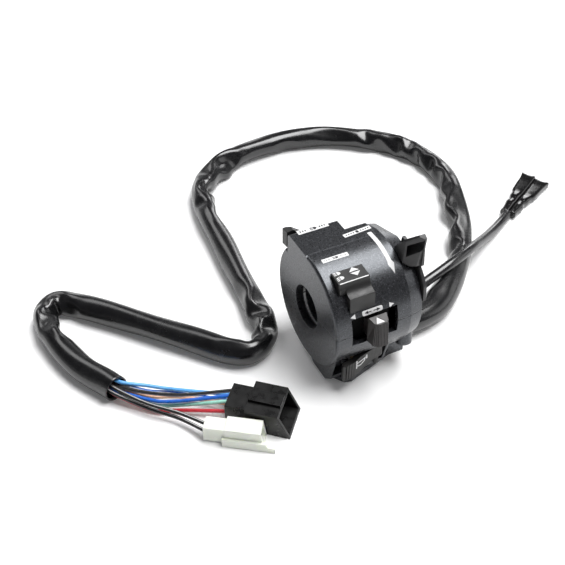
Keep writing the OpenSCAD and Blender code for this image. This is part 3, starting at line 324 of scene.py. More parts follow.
def sparkle_paint():
    """Satin charcoal paint: a dark ground with fine bright flakes, a faint orange peel, a painted highlight low in
    the bore and the parting seam.
    """
    made, tree, bsdf = shader("case_paint")
    place = object_place(tree)
    drift = spread(tree, noise(tree, place, PAINT_DRIFT_SCALE, detail=4), *PAINT_MIDDLE, 0, 1)
    ground = blend_colours(tree, drift, PAINT_DARK, PAINT_PALE)
    flakes = add(tree, "ShaderNodeTexVoronoi")
    flakes.inputs["Scale"].default_value = FLAKE_SCALE
    tree.links.new(place, flakes.inputs["Vector"])
    shine = add(tree, "ShaderNodeSeparateColor")
    tree.links.new(flakes.outputs["Color"], shine.inputs["Color"])
    fleck = spread(tree, shine.outputs["Red"], FLAKE_FROM, 1.0, 0, 1)
    flecked = blend_colours(tree, fleck, ground, FLAKE_COLOUR)
    # Painted highlight: a pale band low on an inner edge in the bore, where light from above falls
    flecked = blend_colours(tree, painted_bore_highlight(tree, place, *BORE_HIGHLIGHT_DEPTHS), flecked, BORE_HIGHLIGHT_COLOUR)
    gap = seam(tree, place)
    tree.links.new(blend_colours(tree, gap, SEAM_COLOUR, flecked), bsdf.inputs["Base Color"])
    tree.links.new(spread(tree, noise(tree, place, PAINT_PEEL_SCALE), *NOISE_MIDDLE, *PAINT_ROUGHNESS),
                   bsdf.inputs["Roughness"])
    bsdf.inputs["Specular IOR Level"].default_value = PAINT_SPECULAR
    bsdf.inputs["Specular Tint"].default_value = PAINT_TINT
    height = maths(tree, "MULTIPLY_ADD", noise(tree, place, PAINT_GRAIN_SCALE, detail=2), GRAIN_SHARE, gap)
    relief(tree, bsdf, height, SEAM_DEPTH, PAINT_EDGE)
    return made


def glossy_pvc(name, colour, rough, ripple, specular):
    """Soft PVC: high gloss with faint ripples and a fine haze that is paler and duller."""
    made, tree, bsdf = shader(name)
    place = object_place(tree)
    haze = noise(tree, place, HAZE_SCALE, detail=5, roughness=0.6)
    pale = spread(tree, haze, *HAZE_IN_COLOUR, 0, 1)
    tree.links.new(blend_colours(tree, pale, colour, shade(colour, HAZE_SHARE, HAZE_RISE)),
                   bsdf.inputs["Base Color"])
    tree.links.new(spread(tree, haze, *HAZE_IN_GLOSS, rough - HAZE_UP, rough + HAZE_DOWN),
                   bsdf.inputs["Roughness"])
    bsdf.inputs["Specular IOR Level"].default_value = specular
    relief(tree, bsdf, noise(tree, place, RIPPLE_SCALE), ripple)
    return made


def insulation(name, colour, stripe=None, stripe_half=0.06, stripes=1):
    """Wire insulation, with tracer lines along it where stripe gives their colour."""
    made, tree, bsdf = shader(name)
    place = object_place(tree)
    body = blend_colours(tree, spread(tree, noise(tree, place, WIRE_DRIFT_SCALE), *NOISE_MIDDLE, 0, 1),
                         shade(colour, WIRE_DARKER), shade(colour, WIRE_PALER))
    if stripe:
        uv = add(tree, "ShaderNodeUVMap", uv_map="round")
        parts = add(tree, "ShaderNodeSeparateXYZ")
        tree.links.new(uv.outputs["UV"], parts.inputs["Vector"])
        wave = maths(tree, "PINGPONG", maths(tree, "MULTIPLY", parts.outputs["Y"], stripes), 0.5)
        half = stripe_half * stripes
        on = spread(tree, wave, half, half * STRIPE_SOFTNESS, 1, 0)
        body = blend_colours(tree, on, body, stripe)
    tree.links.new(body, bsdf.inputs["Base Color"])
    tree.links.new(spread(tree, noise(tree, place, WIRE_GLOSS_SCALE, detail=2), *NOISE_MIDDLE, *WIRE_ROUGHNESS),
                   bsdf.inputs["Roughness"])
    relief(tree, bsdf, noise(tree, place, WIRE_GRAIN_SCALE, detail=2), WIRE_GRAIN_DEPTH)
    return made


def milky(name, colour):
    """Natural nylon: light passes a little way in, and the surface is waxy."""
    made = moulded(name, colour, 0.36, grain=700, depth=0.015, vary=0.05, edge=0.3)
    bsdf = made.node_tree.nodes["Principled BSDF"]
    bsdf.inputs["Subsurface Weight"].default_value = 0.35
    bsdf.inputs["Subsurface Radius"].default_value = (0.9, 1.0, 0.7)
    bsdf.inputs["Subsurface Scale"].default_value = 1.6 * MM
    return made


def ink(name, colour):
    """Pad-printed ink: matt, with specks where the grain shows through."""
    made, tree, bsdf = shader(name)
    place = object_place(tree)
    worn = spread(tree, noise(tree, place, INK_SCALE, detail=4, roughness=0.7), *INK_WORN, 0, 1)
    tree.links.new(blend_colours(tree, worn, colour, shade(colour, INK_DARKER)), bsdf.inputs["Base Color"])
    tree.links.new(spread(tree, worn, 0, 1, *INK_ROUGHNESS), bsdf.inputs["Roughness"])
    return made


paint = sparkle_paint()
knob_black = moulded("knob_black", (0.014, 0.014, 0.014), 0.42, grain=1600, depth=0.03, edge=0.3)
knob_grey = moulded("knob_grey", (0.018, 0.0175, 0.0165), 0.5, grain=1500, depth=0.03, edge=0.35)
knob_brown = moulded("knob_brown", (0.03, 0.0265, 0.026), 0.42, grain=1500, depth=0.03, edge=0.3)
# Near-black parts inside the case: painted shade for the dark windows that they are seen through
painted_shade_black = moulded("painted_shade_black", (0.003, 0.003, 0.003), 0.75, grain=900, depth=0.02, edge=0.2, specular=0.12)
lever_black = moulded("lever_black", (0.028, 0.028, 0.029), 0.4, grain=1300, depth=0.02, edge=0.3)
rubber = moulded("rubber", (0.014, 0.014, 0.014), 0.5, grain=900, depth=0.03, edge=0.4)
connector_black = moulded("connector_black", (0.005, 0.005, 0.005), 0.3, grain=1200, depth=0.012, edge=0.3,
                          specular=0.35)
connector_white = milky("connector_white", (0.84, 0.87, 0.78))
board = moulded("board_brown", (0.2, 0.1, 0.04), 0.5, grain=700, depth=0.03, edge=0.15)
brass = moulded("brass", (0.34, 0.23, 0.1), 0.4, grain=1500, depth=0.01, metal=1, edge=0.12, stretch=(1, 6, 1))
# Brass darkened far below the brass above: painted shade in the horn recess
painted_shade_brass = moulded("painted_shade_brass", (0.06, 0.045, 0.025), 0.55, grain=1500, depth=0.01, metal=1, edge=0.12)
zinc = moulded("zinc_screw", (0.3, 0.24, 0.13), 0.45, grain=1200, depth=0.012, metal=1, edge=0.2)
steel = moulded("steel", (0.62, 0.62, 0.63), 0.25, grain=1500, depth=0.008, metal=1, edge=0.1)
dark_steel = moulded("dark_steel", (0.06, 0.06, 0.06), 0.45, grain=1500, depth=0.008, metal=1, edge=0.1)
tin = moulded("tin", (0.74, 0.74, 0.72), 0.34, grain=1200, depth=0.01, metal=1, edge=0.1)
sleeve_pvc = glossy_pvc("sleeve_pvc", (0.004, 0.004, 0.0045), 0.24, 0.02, 0.75)
lead_pvc = glossy_pvc("lead_pvc", (0.005, 0.005, 0.0055), 0.24, 0.015, 0.8)
boot_vinyl = glossy_pvc("boot_vinyl", (0.004, 0.004, 0.004), 0.14, 0.05, 0.7)
white_ink = ink("white_ink", (0.8, 0.8, 0.8))
dark_ink = ink("dark_ink", (0.03, 0.03, 0.035))

FINISHES = {
    paint: ["upper_case", "lower_case"],
    zinc: ["case_screws"],
    knob_black: ["lights_knob", "passing_trigger"],
    painted_shade_black: ["lights_carrier", "turn_slider"],
    knob_brown: ["turn_knob"],
    knob_grey: ["horn_paddle"],
    lever_black: ["choke_lever"],
    brass: ["lights_bridge", "turn_bridge"],
    painted_shade_brass: ["horn_contacts"],
    board: ["lights_contact_plate", "turn_contact_plate", "passing_contacts"],
    steel: ["lights_detent_ball", "lights_detent_spring", "turn_detent_ball", "turn_detent_spring",
            "horn_spring", "passing_pin", "passing_spring", "choke_spring_washer"],
    dark_steel: ["horn_pin"],
    rubber: ["harness_grommet", "clutch_grommet"],
    connector_black: ["black_connector"],
    connector_white: ["white_connector"],
    tin: ["black_connector_blades", "white_connector_blades", "clutch_lead_terminals"],
}
for finish, names in FINISHES.items():
    for name in names:
        nodes[name].data.materials.clear()
        nodes[name].data.materials.append(finish)

WIRE_FINISHES = {
    "wire_light_blue": insulation("wire_light_blue", (0.13, 0.44, 0.9)),
    "wire_white_blue": insulation("wire_white_blue", (0.78, 0.82, 0.9), (0.03, 0.15, 0.55), 0.09),
    "wire_grey": insulation("wire_grey", (0.42, 0.36, 0.3), (0.02, 0.02, 0.02), 0.16),
    "wire_orange": insulation("wire_orange", (0.9, 0.52, 0.34)),
    "wire_dark_blue": insulation("wire_dark_blue", (0.02, 0.14, 0.62)),
    "wire_mint": insulation("wire_mint", (0.36, 0.74, 0.62)),
    "wire_red": insulation("wire_red", (0.56, 0.035, 0.05)),
    "wire_black_white_a": insulation("wire_black_white", (0.012, 0.012, 0.012), (0.5, 0.5, 0.5), 0.035, 2),
}
WIRE_FINISHES["wire_black_white_b"] = WIRE_FINISHES["wire_black_white_a"]


# Shapes

# Points on each stretch of a curve, and the fewest steps of a path
CURVE_SAMPLES = 24
LEAST_STEPS = 4


def put(name, data):
    """A new object in the scene."""
    made = bpy.data.objects.new(name, data)
    bpy.context.scene.collection.objects.link(made)
    return made


def finished(name, bm, material):
    """A new object in the scene from a bmesh, which is freed."""
    mesh = bpy.data.meshes.new(name)
    bm.to_mesh(mesh)
    bm.free()
    mesh.materials.append(material)
    return put(name, mesh)


def smooth_path(points, step, first, last):
    """Catmull-Rom curve through the points, in even steps, between its two end directions.

    Returns its points, the place of each in the list of points, and the length up to each.
    """
    p = [np.array(q, float) for q in points]
    before = p[0] - np.array(first) * np.linalg.norm(p[1] - p[0])
    after = p[-1] + np.array(last) * np.linalg.norm(p[-1] - p[-2])
    q = [before, *p, after]
    fine, marks = [], []
    for i in range(1, len(q) - 2):
        a, b, c, d = q[i - 1:i + 3]
        for t in np.linspace(0, 1, CURVE_SAMPLES, endpoint=False):
            fine.append(0.5 * (2 * b + (c - a) * t + (2 * a - 5 * b + 4 * c - d) * t ** 2
                               + (3 * b - a - 3 * c + d) * t ** 3))
            marks.append(i - 1 + t)
    fine.append(p[-1])
    marks.append(len(p) - 1)
    fine = np.array(fine)
    along = np.concatenate([[0], np.cumsum(np.linalg.norm(np.diff(fine, axis=0), axis=1))])
    count = max(int(round(along[-1] / step)), LEAST_STEPS)
    even = np.linspace(0, along[-1], count + 1)
    path = np.stack([np.interp(even, along, fine[:, k]) for k in range(3)], axis=1)
    return path, np.interp(even, along, marks), even


def frames_along(path, first, last):
    """Right-hand side and upward direction at each point of a path."""
    tangent = np.gradient(path, axis=0)
    tangent[0], tangent[-1] = first, last
    tangent /= np.linalg.norm(tangent, axis=1)[:, None]
    side = np.cross(tangent, [0, 0, 1])
    side /= np.linalg.norm(side, axis=1)[:, None]
    return side, np.cross(side, tangent)


def skin(name, rings, material):
    """Closed object from equal rings of points in millimetres, with a UV layer that runs along and round it."""
    count, sides = len(rings), len(rings[0])
    points = [Vector(p) * MM for ring in rings for p in ring]
    faces, uvs = [], []
    for i in range(count - 1):
        for k in range(sides):
            n = (k + 1) % sides
            faces.append((i * sides + k, i * sides + n, (i + 1) * sides + n, (i + 1) * sides + k))
            uvs += [(i, k / sides), (i, (k + 1) / sides), (i + 1, (k + 1) / sides), (i + 1, k / sides)]
    ends = [tuple(range(sides - 1, -1, -1)), tuple((count - 1) * sides + k for k in range(sides))]
    faces += ends
    uvs += [(0, 0.25)] * (2 * sides)
    mesh = bpy.data.meshes.new(name)
    mesh.from_pydata(points, [], faces)
    layer = mesh.uv_layers.new(name="round")
    layer.data.foreach_set("uv", np.array(uvs, np.float32).ravel())
    mesh.polygons.foreach_set("use_smooth", [face not in ends for face in faces])
    mesh.update()
    mesh.materials.append(material)
    bm = bmesh.new()
    bm.from_mesh(mesh)
    bmesh.ops.recalc_face_normals(bm, faces=bm.faces)
    bm.to_mesh(mesh)
    bm.free()
    return put(name, mesh)


def heading(angle):
    """Level direction at an angle from +X, in degrees."""
    return np.array((math.cos(math.radians(angle)), math.sin(math.radians(angle)), 0.0))


def round_tube(name, points, d, material, first, last, sides=14, step=1.2):
    """A plain round lead along its route, in millimetres. Returns it with its centreline and length in metres."""
    path, _, along = smooth_path(points, step, first, last)
    side, up = frames_along(path, first, last)
    turn = np.linspace(0, 2 * math.pi, sides, endpoint=False)
    rings = [[centre + d / 2 * (math.cos(a) * up[i] + math.sin(a) * side[i]) for a in turn]
             for i, centre in enumerate(path)]
    return skin(name, rings, material), path * MM, along[-1] * MM


# Sleeve: where it has buckled, a facet cuts its round section.
# Each facet: place along the route, half length, angle from the top towards the right, depth.
FACETS = [
    (1.6, 11, -60, 0.8), (3.2, 12, -62, 1.5), (3.9, 8, 35, 0.7), (5.2, 6, -66, 4.0), (6.6, 10, -76, 4.2),
    (8.2, 12, -40, 1.6), (8.75, 9, -80, 3.0), (6.95, 23, 7, 2.6), (9.5, 6, -62, 2.6),
    (10.2, 6, -80, 2.8), (10.5, 5, -20, 2.0), (10.85, 5, -60, 2.6), (11.4, 6, -85, 2.4),
    (11.75, 5, -35, 2.0), (12.7, 17, -48, 1.5), (13.9, 10, -100, 1.3), (14.7, 12, 20, 1.0),
    (15.75, 12, -52, 3.6), (16.5, 6, 15, 2.0), (17.15, 7.5, -50, 3.7), (16.95, 5, -118, 3.9), (18.05, 5.5, -118, 3.2),
    (17.8, 6, 30, 1.6), (18.3, 10, -85, 2.0), (20.9, 9, 60, 1.6), (21.35, 8, -35, 2.8), (21.75, 7, 20, 3.0),
    (22.2, 6, 75, 3.0), (22.5, 6, -20, 2.6), (22.95, 5.5, 35, 3.2), (23.3, 5, 95, 4.0), (23.7, 6, 50, 2.0),
    (24.7, 9, 88, 2.8), (28.35, 8, -75, 2.2), (28.85, 6, -20, 2.6), (29.2, 5, -85, 4.2), (29.6, 5.5, 10, 2.4),
    (29.8, 5, -50, 3.8), (30.3, 6, 70, 1.4), (30.45, 8, -5, 2.6), (30.9, 8, -85, 3.0), (32.2, 12, -60, 0.6),
]
# Where it stands out instead: the same four values, with the rise for the depth.
BULGES = [(2.9, 30, -75, 2.9), (15.9, 9, -115, 2.2), (17.5, 6, -115, 1.6), (7.3, 9, -85, 1.5)]
# A facet's ends: how far they are followed, their slant and their fall. Beside it the sleeve swells a little.
FACET_REACH = 1.5
FACET_SLANT = 0.25
FACET_FALL = 1.7
FACET_SWELL = 0.3
LEAST_COSINE = 0.05
# Softness of a facet's edges, and rounds of smoothing over all.
CREASE = 0.25
SOFTEN = 3
# Where nothing has buckled the section is slightly oval, turns slowly along the sleeve and is a little narrower.
OVAL = 0.05
OVAL_TURN = 0.05
OVAL_LOSS = 0.02
# Its mesh: sides, step along it and thickness of its wall.
SLEEVE_SIDES = 60
SLEEVE_STEP = 1.0
SLEEVE_WALL = 0.8
# Depth of the open end, in steps of the sleeve, and the rings of its inner wall.
SLEEVE_MOUTH = 16
SLEEVE_HOLE_STEPS = 6


def angle_from(turn, angle):
    """Angle between each direction round the sleeve and the one given in degrees, from -pi to pi."""
    return np.angle(np.exp(1j * (turn - math.radians(angle))))


def sleeve_section(along, marks, run, turn):
    """Radius round the sleeve at one place along it, with its buckles."""
    oval = 1 + OVAL * np.cos(2 * (turn - OVAL_TURN * along)) - OVAL_LOSS
    radius = SLEEVE_D / 2 * oval
    for at, half, angle, depth in FACETS:
        lean = (along - np.interp(at, marks, run)) / half
        if abs(lean) >= FACET_REACH:
            continue
        off = angle_from(turn, angle)
        reach = lean + FACET_SLANT * np.sin(off) * np.sign(angle + 1)
        cut = depth * np.clip(1 - np.abs(reach) ** FACET_FALL, 0, None)
        swell = FACET_SWELL * depth * max(0, 1 - lean ** 2) * np.sin(np.abs(off)) ** 2 * (np.abs(off) < math.pi / 2)
        radius = radius + swell
        flat = (SLEEVE_D / 2 - cut) / np.maximum(np.cos(off), LEAST_COSINE)
        radius = -CREASE * np.logaddexp(-radius / CREASE, -flat / CREASE)
    for at, half, angle, rise in BULGES:
        lean = (along - np.interp(at, marks, run)) / half
        off = angle_from(turn, angle)
        radius = radius + rise * max(0, 1 - lean ** 2) ** 2 * np.clip(np.cos(off), 0, None) ** 2
    return radius


def build_sleeve():
    """The harness sleeve with its buckles and open end. Returns it with its centreline and length in metres."""
    first, last = np.array((1.0, 0, 0)), heading(SLEEVE_HEADING)
    path, marks, run = smooth_path(HARNESS_ROUTE, SLEEVE_STEP, first, last)
    side, up = frames_along(path, first, last)
    turn = np.linspace(0, 2 * math.pi, SLEEVE_SIDES, endpoint=False)
    spokes = np.cos(turn)[:, None, None] * up + np.sin(turn)[:, None, None] * side
    radii = np.array([sleeve_section(along, marks, run, turn) for along in run])
    for _ in range(SOFTEN):
        radii = (np.roll(radii, 1, 1) + 2 * radii + np.roll(radii, -1, 1)) / 4
        radii[1:-1] = (radii[:-2] + radii[1:-1] + radii[2:]) / 3
    rings = []
    for i, centre in enumerate(path):
        ring = centre + radii[i][:, None] * spokes[:, i]
        ring[:, 2] = np.maximum(ring[:, 2], FLOOR_Z + FLOOR_GAP)
        rings.append(ring)
    scale = (SLEEVE_D / 2 - SLEEVE_WALL) / (SLEEVE_D / 2)
    for k in range(SLEEVE_HOLE_STEPS + 1):
        i = len(path) - 1 - k * SLEEVE_MOUTH // SLEEVE_HOLE_STEPS
        rings.append(path[i] + (rings[i] - path[i]) * scale)
    made = skin("sleeve", rings, sleeve_pvc)
    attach(made, "case")
    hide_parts("harness_sleeve")
    return made, path * MM, run[-1] * MM


def build_wires():
    """The wires from the sleeve's end to the plugs, each with its centreline, length and plug."""
    pieces = []
    ahead = heading(SLEEVE_HEADING)
    for name, (side, lift, bend_1, bend_2, across, height) in WIRE_WAYS.items():
        at, turn = (WHITE_AT, WHITE_TURN) if name.startswith("wire_black_white") else (BLACK_AT, BLACK_TURN)
        start = np.array(SLEEVE_END) + side * heading(SLEEVE_HEADING + 90) + np.array((0, 0, lift))
        inside = start - WIRE_HIDDEN * ahead
        end = np.array((*at, FLOOR_Z)) + across * heading(turn + 90) + np.array((0, 0, height))
        points = [inside, start, bend_1, bend_2, end, end + WIRE_TUCK * heading(turn)]
        made, path, length = round_tube(name + "_lead", points, WIRE_D, WIRE_FINISHES[name], ahead, heading(turn))
        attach(made, "case")
        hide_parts(name)
        plug = nodes["white_connector" if at == WHITE_AT else "black_connector"]
        pieces.append((made, path, length, plug))
    return pieces


sleeve, sleeve_path, sleeve_len = build_sleeve()
wires = build_wires()
clutch, clutch_path, clutch_len = round_tube("clutch_cable", CLUTCH_ROUTE, CLUTCH_D, lead_pvc, (1, 0, 0),
                                             heading(CLUTCH_HEADING), sides=28)
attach(clutch, "case")
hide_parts("clutch_lead")

# Boots over the spade ends: place along each from the lead's end to the mouth, width, height and squareness
BOOT_LEN = 42.0
BOOT_SECTIONS = [
    (0.0, 4.8, 4.6, 2.2), (0.1, 4.8, 4.7, 2.2), (0.17, 5.2, 5.3, 2.3), (0.23, 5.7, 5.6, 2.4), (0.29, 5.1, 4.8, 2.5),
    (0.34, 5.3, 4.7, 2.5), (0.39, 6.1, 5.4, 2.4), (0.45, 6.3, 5.0, 2.6), (0.5, 6.5, 4.1, 3.0), (0.56, 7.5, 3.9, 3.6),
    (0.7, 7.9, 4.0, 4.5), (0.85, 8.2, 4.2, 5.0), (0.94, 8.7, 4.7, 5.0), (1.0, 9.2, 5.2, 5.0),
]
# The two boots' distance as a share of their width, and half the height that the far one gains towards its mouth
BOOT_TOUCH = 0.985
BOOT_ROLL = 0.6
# Depth of the hollow in the mouth's rim, and the share of the length where it starts and that it takes
SCALLOP = 1.7
SCALLOP_FROM, SCALLOP_SPAN = 0.8, 0.2
BOOT_WALL = 0.75
BOOT_POCKET_SHARE = 0.64
BOOT_SIDES = 40
BOOT_RINGS = 43
BOOT_POCKET_RINGS = 14


def build_boot(name, side):
    """Dipped vinyl boot: round neck, a bulge over the crimp and a flat flared mouth."""
    table = np.array(BOOT_SECTIONS)
    turn = np.linspace(0, 2 * math.pi, BOOT_SIDES, endpoint=False)
    origin, ahead, left = np.array(CLUTCH_END), heading(CLUTCH_HEADING), heading(CLUTCH_HEADING + 90)

    def ring(share, inset):
        w, h, power = (np.interp(share, table[:, 0], table[:, k]) for k in range(1, 4))
        across = side * w / 2 * BOOT_TOUCH
        c, s = np.cos(turn), np.sin(turn)
        y = np.sign(c) * np.abs(c) ** (2 / power) * (w / 2 - inset)
        z = np.sign(s) * np.abs(s) ** (2 / power) * (h / 2 - inset)
        lift = BOOT_ROLL * (1 + side) * share
        cut = SCALLOP * np.clip((share - SCALLOP_FROM) / SCALLOP_SPAN, 0, 1) * np.clip(1 - (2 * y / w) ** 2, 0, 1)
        points = origin + (share * BOOT_LEN - cut)[:, None] * ahead + (across + y)[:, None] * left
        points[:, 2] += z + lift
        points[:, 2] = np.maximum(points[:, 2], FLOOR_Z + FLOOR_GAP)
        return points

    rings = [ring(s, 0) for s in np.linspace(0, 1, BOOT_RINGS)]
    rings += [ring(s, BOOT_WALL) for s in np.linspace(1, BOOT_POCKET_SHARE, BOOT_POCKET_RINGS)]
    return skin(name, rings, boot_vinyl)


boots = [build_boot("boot_near", -1), build_boot("boot_far", 1)]
for boot in boots:
    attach(boot, "case")
    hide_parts("clutch_lead_boots")


# Turn knob with chamfered corners and fine grip grooves, which the CAD block is too plain for.
# Corners of its outline from the left round the nose to the right: below and above.
KNOB_LOW = [(15.5, -30.3), (16.2, -34.9), (18.2, -37.0), (23.0, -37.0), (23.9, -35.6), (24.9, -30.3)]
KNOB_HIGH = [(15.5, -30.3), (17.0, -33.7), (18.9, -34.6), (23.3, -34.6), (24.1, -33.6), (24.9, -30.3)]
# Grooves on each side of the outline, and one groove: share of its pitch, and 1 where it is deep
KNOB_GROOVES = (0, 3, 6, 1, 0)
KNOB_GROOVE = ((0.34, 0), (0.44, 1), (0.62, 1), (0.72, 0))
KNOB_GROOVE_DEPTH = 0.32
# Its sloping top, from back to front as y and z, its underside, and the neck that goes in through the window
KNOB_BACK_TOP = (-30.3, 12.0)
KNOB_FRONT_TOP = (-34.6, 10.0)
KNOB_Z = -2.0
KNOB_NECK = ((16.7, -30.4, -1.3), (23.7, -24.5, 7.7))


def grooved(corners):
    """Outline with sharp grooves cut into its sides."""
    out = [corners[0]]
    for (x0, y0), (x1, y1), count in zip(corners, corners[1:], KNOB_GROOVES):
        length = math.hypot(x1 - x0, y1 - y0)
        inward = ((y0 - y1) / length * KNOB_GROOVE_DEPTH, (x1 - x0) / length * KNOB_GROOVE_DEPTH)
        for k in range(count):
            for share, deep in KNOB_GROOVE:
                t = (k + share) / count
                out.append((x0 + (x1 - x0) * t + inward[0] * deep, y0 + (y1 - y0) * t + inward[1] * deep))
        out.append((x1, y1))
    return out


def build_turn_knob():
    """The turn knob: a grooved block that narrows upwards, and its neck."""
    fall = (KNOB_BACK_TOP[1] - KNOB_FRONT_TOP[1]) / (KNOB_BACK_TOP[0] - KNOB_FRONT_TOP[0])
    low = [(x, y, KNOB_Z) for x, y in grooved(KNOB_LOW)]
    high = [(x, y, KNOB_BACK_TOP[1] + (y - KNOB_BACK_TOP[0]) * fall) for x, y in grooved(KNOB_HIGH)]
    (x0, y0, z0), (x1, y1, z1) = KNOB_NECK
    bm = bmesh.new()
    for rings in ((low, high), ([(x0, y0, z0), (x1, y0, z0), (x1, y1, z0), (x0, y1, z0)],
                                [(x0, y0, z1), (x1, y0, z1), (x1, y1, z1), (x0, y1, z1)])):
        under, over = ([bm.verts.new(Vector(p) * MM) for p in ring] for ring in rings)
        count = len(under)
        bm.faces.new(under)
        bm.faces.new(over)
        for k in range(count):
            n = (k + 1) % count
            bm.faces.new((under[k], under[n], over[n], over[k]))
    bmesh.ops.recalc_face_normals(bm, faces=bm.faces)
    bmesh.ops.triangulate(bm, faces=[f for f in bm.faces if len(f.verts) > 4])
    made = finished("turn_knob_shape", bm, knob_brown)
    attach(made, "turn_switch")
    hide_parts("turn_knob")


build_turn_knob()


# Printed symbols

# A plate's height above its surface, and that of a mark on a plate.
PLATE_LIFT = 0.05
MARK_LIFT = 0.1
# Places of the plates and of the paddle's face: angles in degrees above the rider side, the rest in millimetres.
LIGHTS_PLATE_ANGLES = (79, 83.3)
LIGHTS_PLATE_ENDS = (5, 18.4)
CHOKE_PLATE_AT = (22.6, 5.6)
CHOKE_PLATE_RUN = (14.8, 0.9)
CHOKE_PLATE_HEIGHT = 2.4
PASSING_PLATE_AT = (4.2, 16.9)
PASSING_PLATE_SIZE = (16.1, 3.1)
PADDLE_FACE_AT = (10.6, -29.6, 0)
PADDLE_FACE_RUN = (12.8, 3.2, 0)
# Bars that stand for letters on these plates: the first one's place and width, and the steps to the others.
LIGHTS_BARS = (6, 0.55, (0, 1.1, 2.2, 8.4, 9.5, 10.6))
CHOKE_BARS = (1.2, 0.55, (0, 1.3, 2.6, 3.9, 8, 9.3, 10.6, 11.9))
PASSING_BARS = (1.2, 0.6, (0, 1.3, 2.6, 10.2, 11.5, 12.8))
# Arrow to the choke lever, over the top of the case: angles of its tip and its widest place, barbs and tail.
CHOKE_ARROW_TIP, CHOKE_ARROW_WIDE = 49.8, 59.2
CHOKE_ARROW_BARB, CHOKE_ARROW_TAIL = 1.6, 4.3
# Plate over the turn knob with a double arrow, and an arrow on each side of it.
PILL_ANGLES = (22.4, 27.2)
PILL_ENDS = (14, 24.6)
PILL_CORNER = 0.8
DOUBLE_ARROW_TIPS, DOUBLE_ARROW_BASES = (15.2, 23.4), (17, 21.6)
DOUBLE_ARROW_STEMS = ((16.8, 18.7), (19.9, 21.8))
DOUBLE_ARROW_HALF, STEM_HALF = 0.8, 0.2
SIDE_ARROW_TIPS, SIDE_ARROW_BASES = (7.9, 30.7), (10.4, 28.2)
SIDE_ARROW_HALF = 1.2
# Printed face of the lights knob: angle and radius of its front edge and of its upper one.
LEGEND_FRONT = (53.5, 35)
LEGEND_UPPER = (66, 31.5)
# Pen lines of the horn.
HORN_PEN, HORN_PEN_WIDE = 0.7, 0.9


def rect(x0, y0, x1, y1):
    """Rectangle between two corners."""
    return [(x0, y0), (x1, y0), (x1, y1), (x0, y1)]


def rounded(x0, y0, x1, y1, r, n=6):
    """Rectangle with round corners."""
    out = []
    for cx, cy, start in ((x1 - r, y0 + r, -90), (x1 - r, y1 - r, 0), (x0 + r, y1 - r, 90), (x0 + r, y0 + r, 180)):
        for k in range(n + 1):
            a = math.radians(start + 90 * k / n)
            out.append((cx + r * math.cos(a), cy + r * math.sin(a)))
    return out


def arc_band(cx, cy, r0, r1, a0, a1, n=10):
    """Part of a ring between two angles."""
    angles = [math.radians(a0 + (a1 - a0) * k / n) for k in range(n + 1)]
    return ([(cx + r1 * math.cos(a), cy + r1 * math.sin(a)) for a in angles]
            + [(cx + r0 * math.cos(a), cy + r0 * math.sin(a)) for a in reversed(angles)])


def headlamp(x0, y0, x1, y1, slant=0.0):
    """Lamp seen from the side, in shares of a box: the lens and three rays, slanted for the dipped beam."""
    w, h = x1 - x0, y1 - y0
    lens = [(x0 + w * 0.5, y0), (x0 + w * 0.78, y0 + h * 0.08), (x1, y0 + h * 0.32), (x1, y0 + h * 0.68),
            (x0 + w * 0.78, y0 + h * 0.92), (x0 + w * 0.5, y1)]
    rays = []
    for k in (0.14, 0.5, 0.86):
        y, t = y0 + h * k, h * 0.1
        rays.append([(x0, y - t - slant), (x0 + w * 0.4, y - t), (x0 + w * 0.4, y + t), (x0, y + t - slant)])
    return [lens, *rays]


def bars(first, width, steps, low, high):
    """Upright bars that stand for letters."""
    return [rect(first + step, low, first + width + step, high) for step in steps]


def arrowheads(tips, bases, middle, half):
    """Two triangles with their tips to the left and to the right."""
    out = []
    for tip, base in zip(tips, bases):
        side = math.copysign(half, base - tip)
        out.append([(tip, middle), (base, middle - side), (base, middle + side)])
    return out


def stroke(points, width):
    """A pen line of even width, as one quad for each straight part."""
    out = []
    for (x0, y0), (x1, y1) in zip(points, points[1:]):
        length = math.hypot(x1 - x0, y1 - y0)
        ux, uy = (x1 - x0) / length * width / 2, (y1 - y0) / length * width / 2
        out.append([(x0 - ux + uy, y0 - uy - ux), (x1 + ux + uy, y1 + uy - ux), (x1 + ux - uy, y1 + uy + ux),
                    (x0 - ux - uy, y0 - uy + ux)])
    return out


def place_print(name, outlines, place, body, material, lift=PLATE_LIFT):
    """Thin print: outlines in millimetres, cut each millimetre so that they bend, laid on by place(x, y, lift)."""
    bm = bmesh.new()
    for outline in outlines:
        bm.faces.new([bm.verts.new((x, y, 0)) for x, y in outline])
    bmesh.ops.triangulate(bm, faces=bm.faces)
    ys = [v.co.y for v in bm.verts]
    cut = math.ceil(min(ys))
    while cut < max(ys):
        geometry = list(bm.verts) + list(bm.edges) + list(bm.faces)
        bmesh.ops.bisect_plane(bm, geom=geometry, plane_co=(0, cut, 0), plane_no=(0, 1, 0))
        cut += 1
    for v in bm.verts:
        v.co = Vector(place(v.co.x, v.co.y, lift)) * MM
    bmesh.ops.recalc_face_normals(bm, faces=bm.faces)
    outward = Vector(place(0, 0, 1)) - Vector(place(0, 0, 0))
    if sum(f.normal.dot(outward) for f in bm.faces) < 0:
        bmesh.ops.reverse_faces(bm, faces=bm.faces)
    made = finished(name, bm, material)
    thick = made.modifiers.new("thickness", "SOLIDIFY")
    thick.thickness = lift * MM
    thick.offset = -1
    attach(made, body)


def on_drum(angle):
    """Lays x along the handlebar and y round the case, up from an angle above the rider side."""
    def place(x, y, lift):
        a = math.radians(angle) + y / CASE_R
        r = CASE_R + lift
        return x, -r * math.cos(a), r * math.sin(a)
    return place


def on_face(corner, right, up):
    """Lays x and y on a flat face from a corner of it."""
    corner, right, up = Vector(corner), Vector(right).normalized(), Vector(up).normalized()
    out = right.cross(up)

    def place(x, y, lift):
        return corner + right * x + up * y + out * lift
    return place


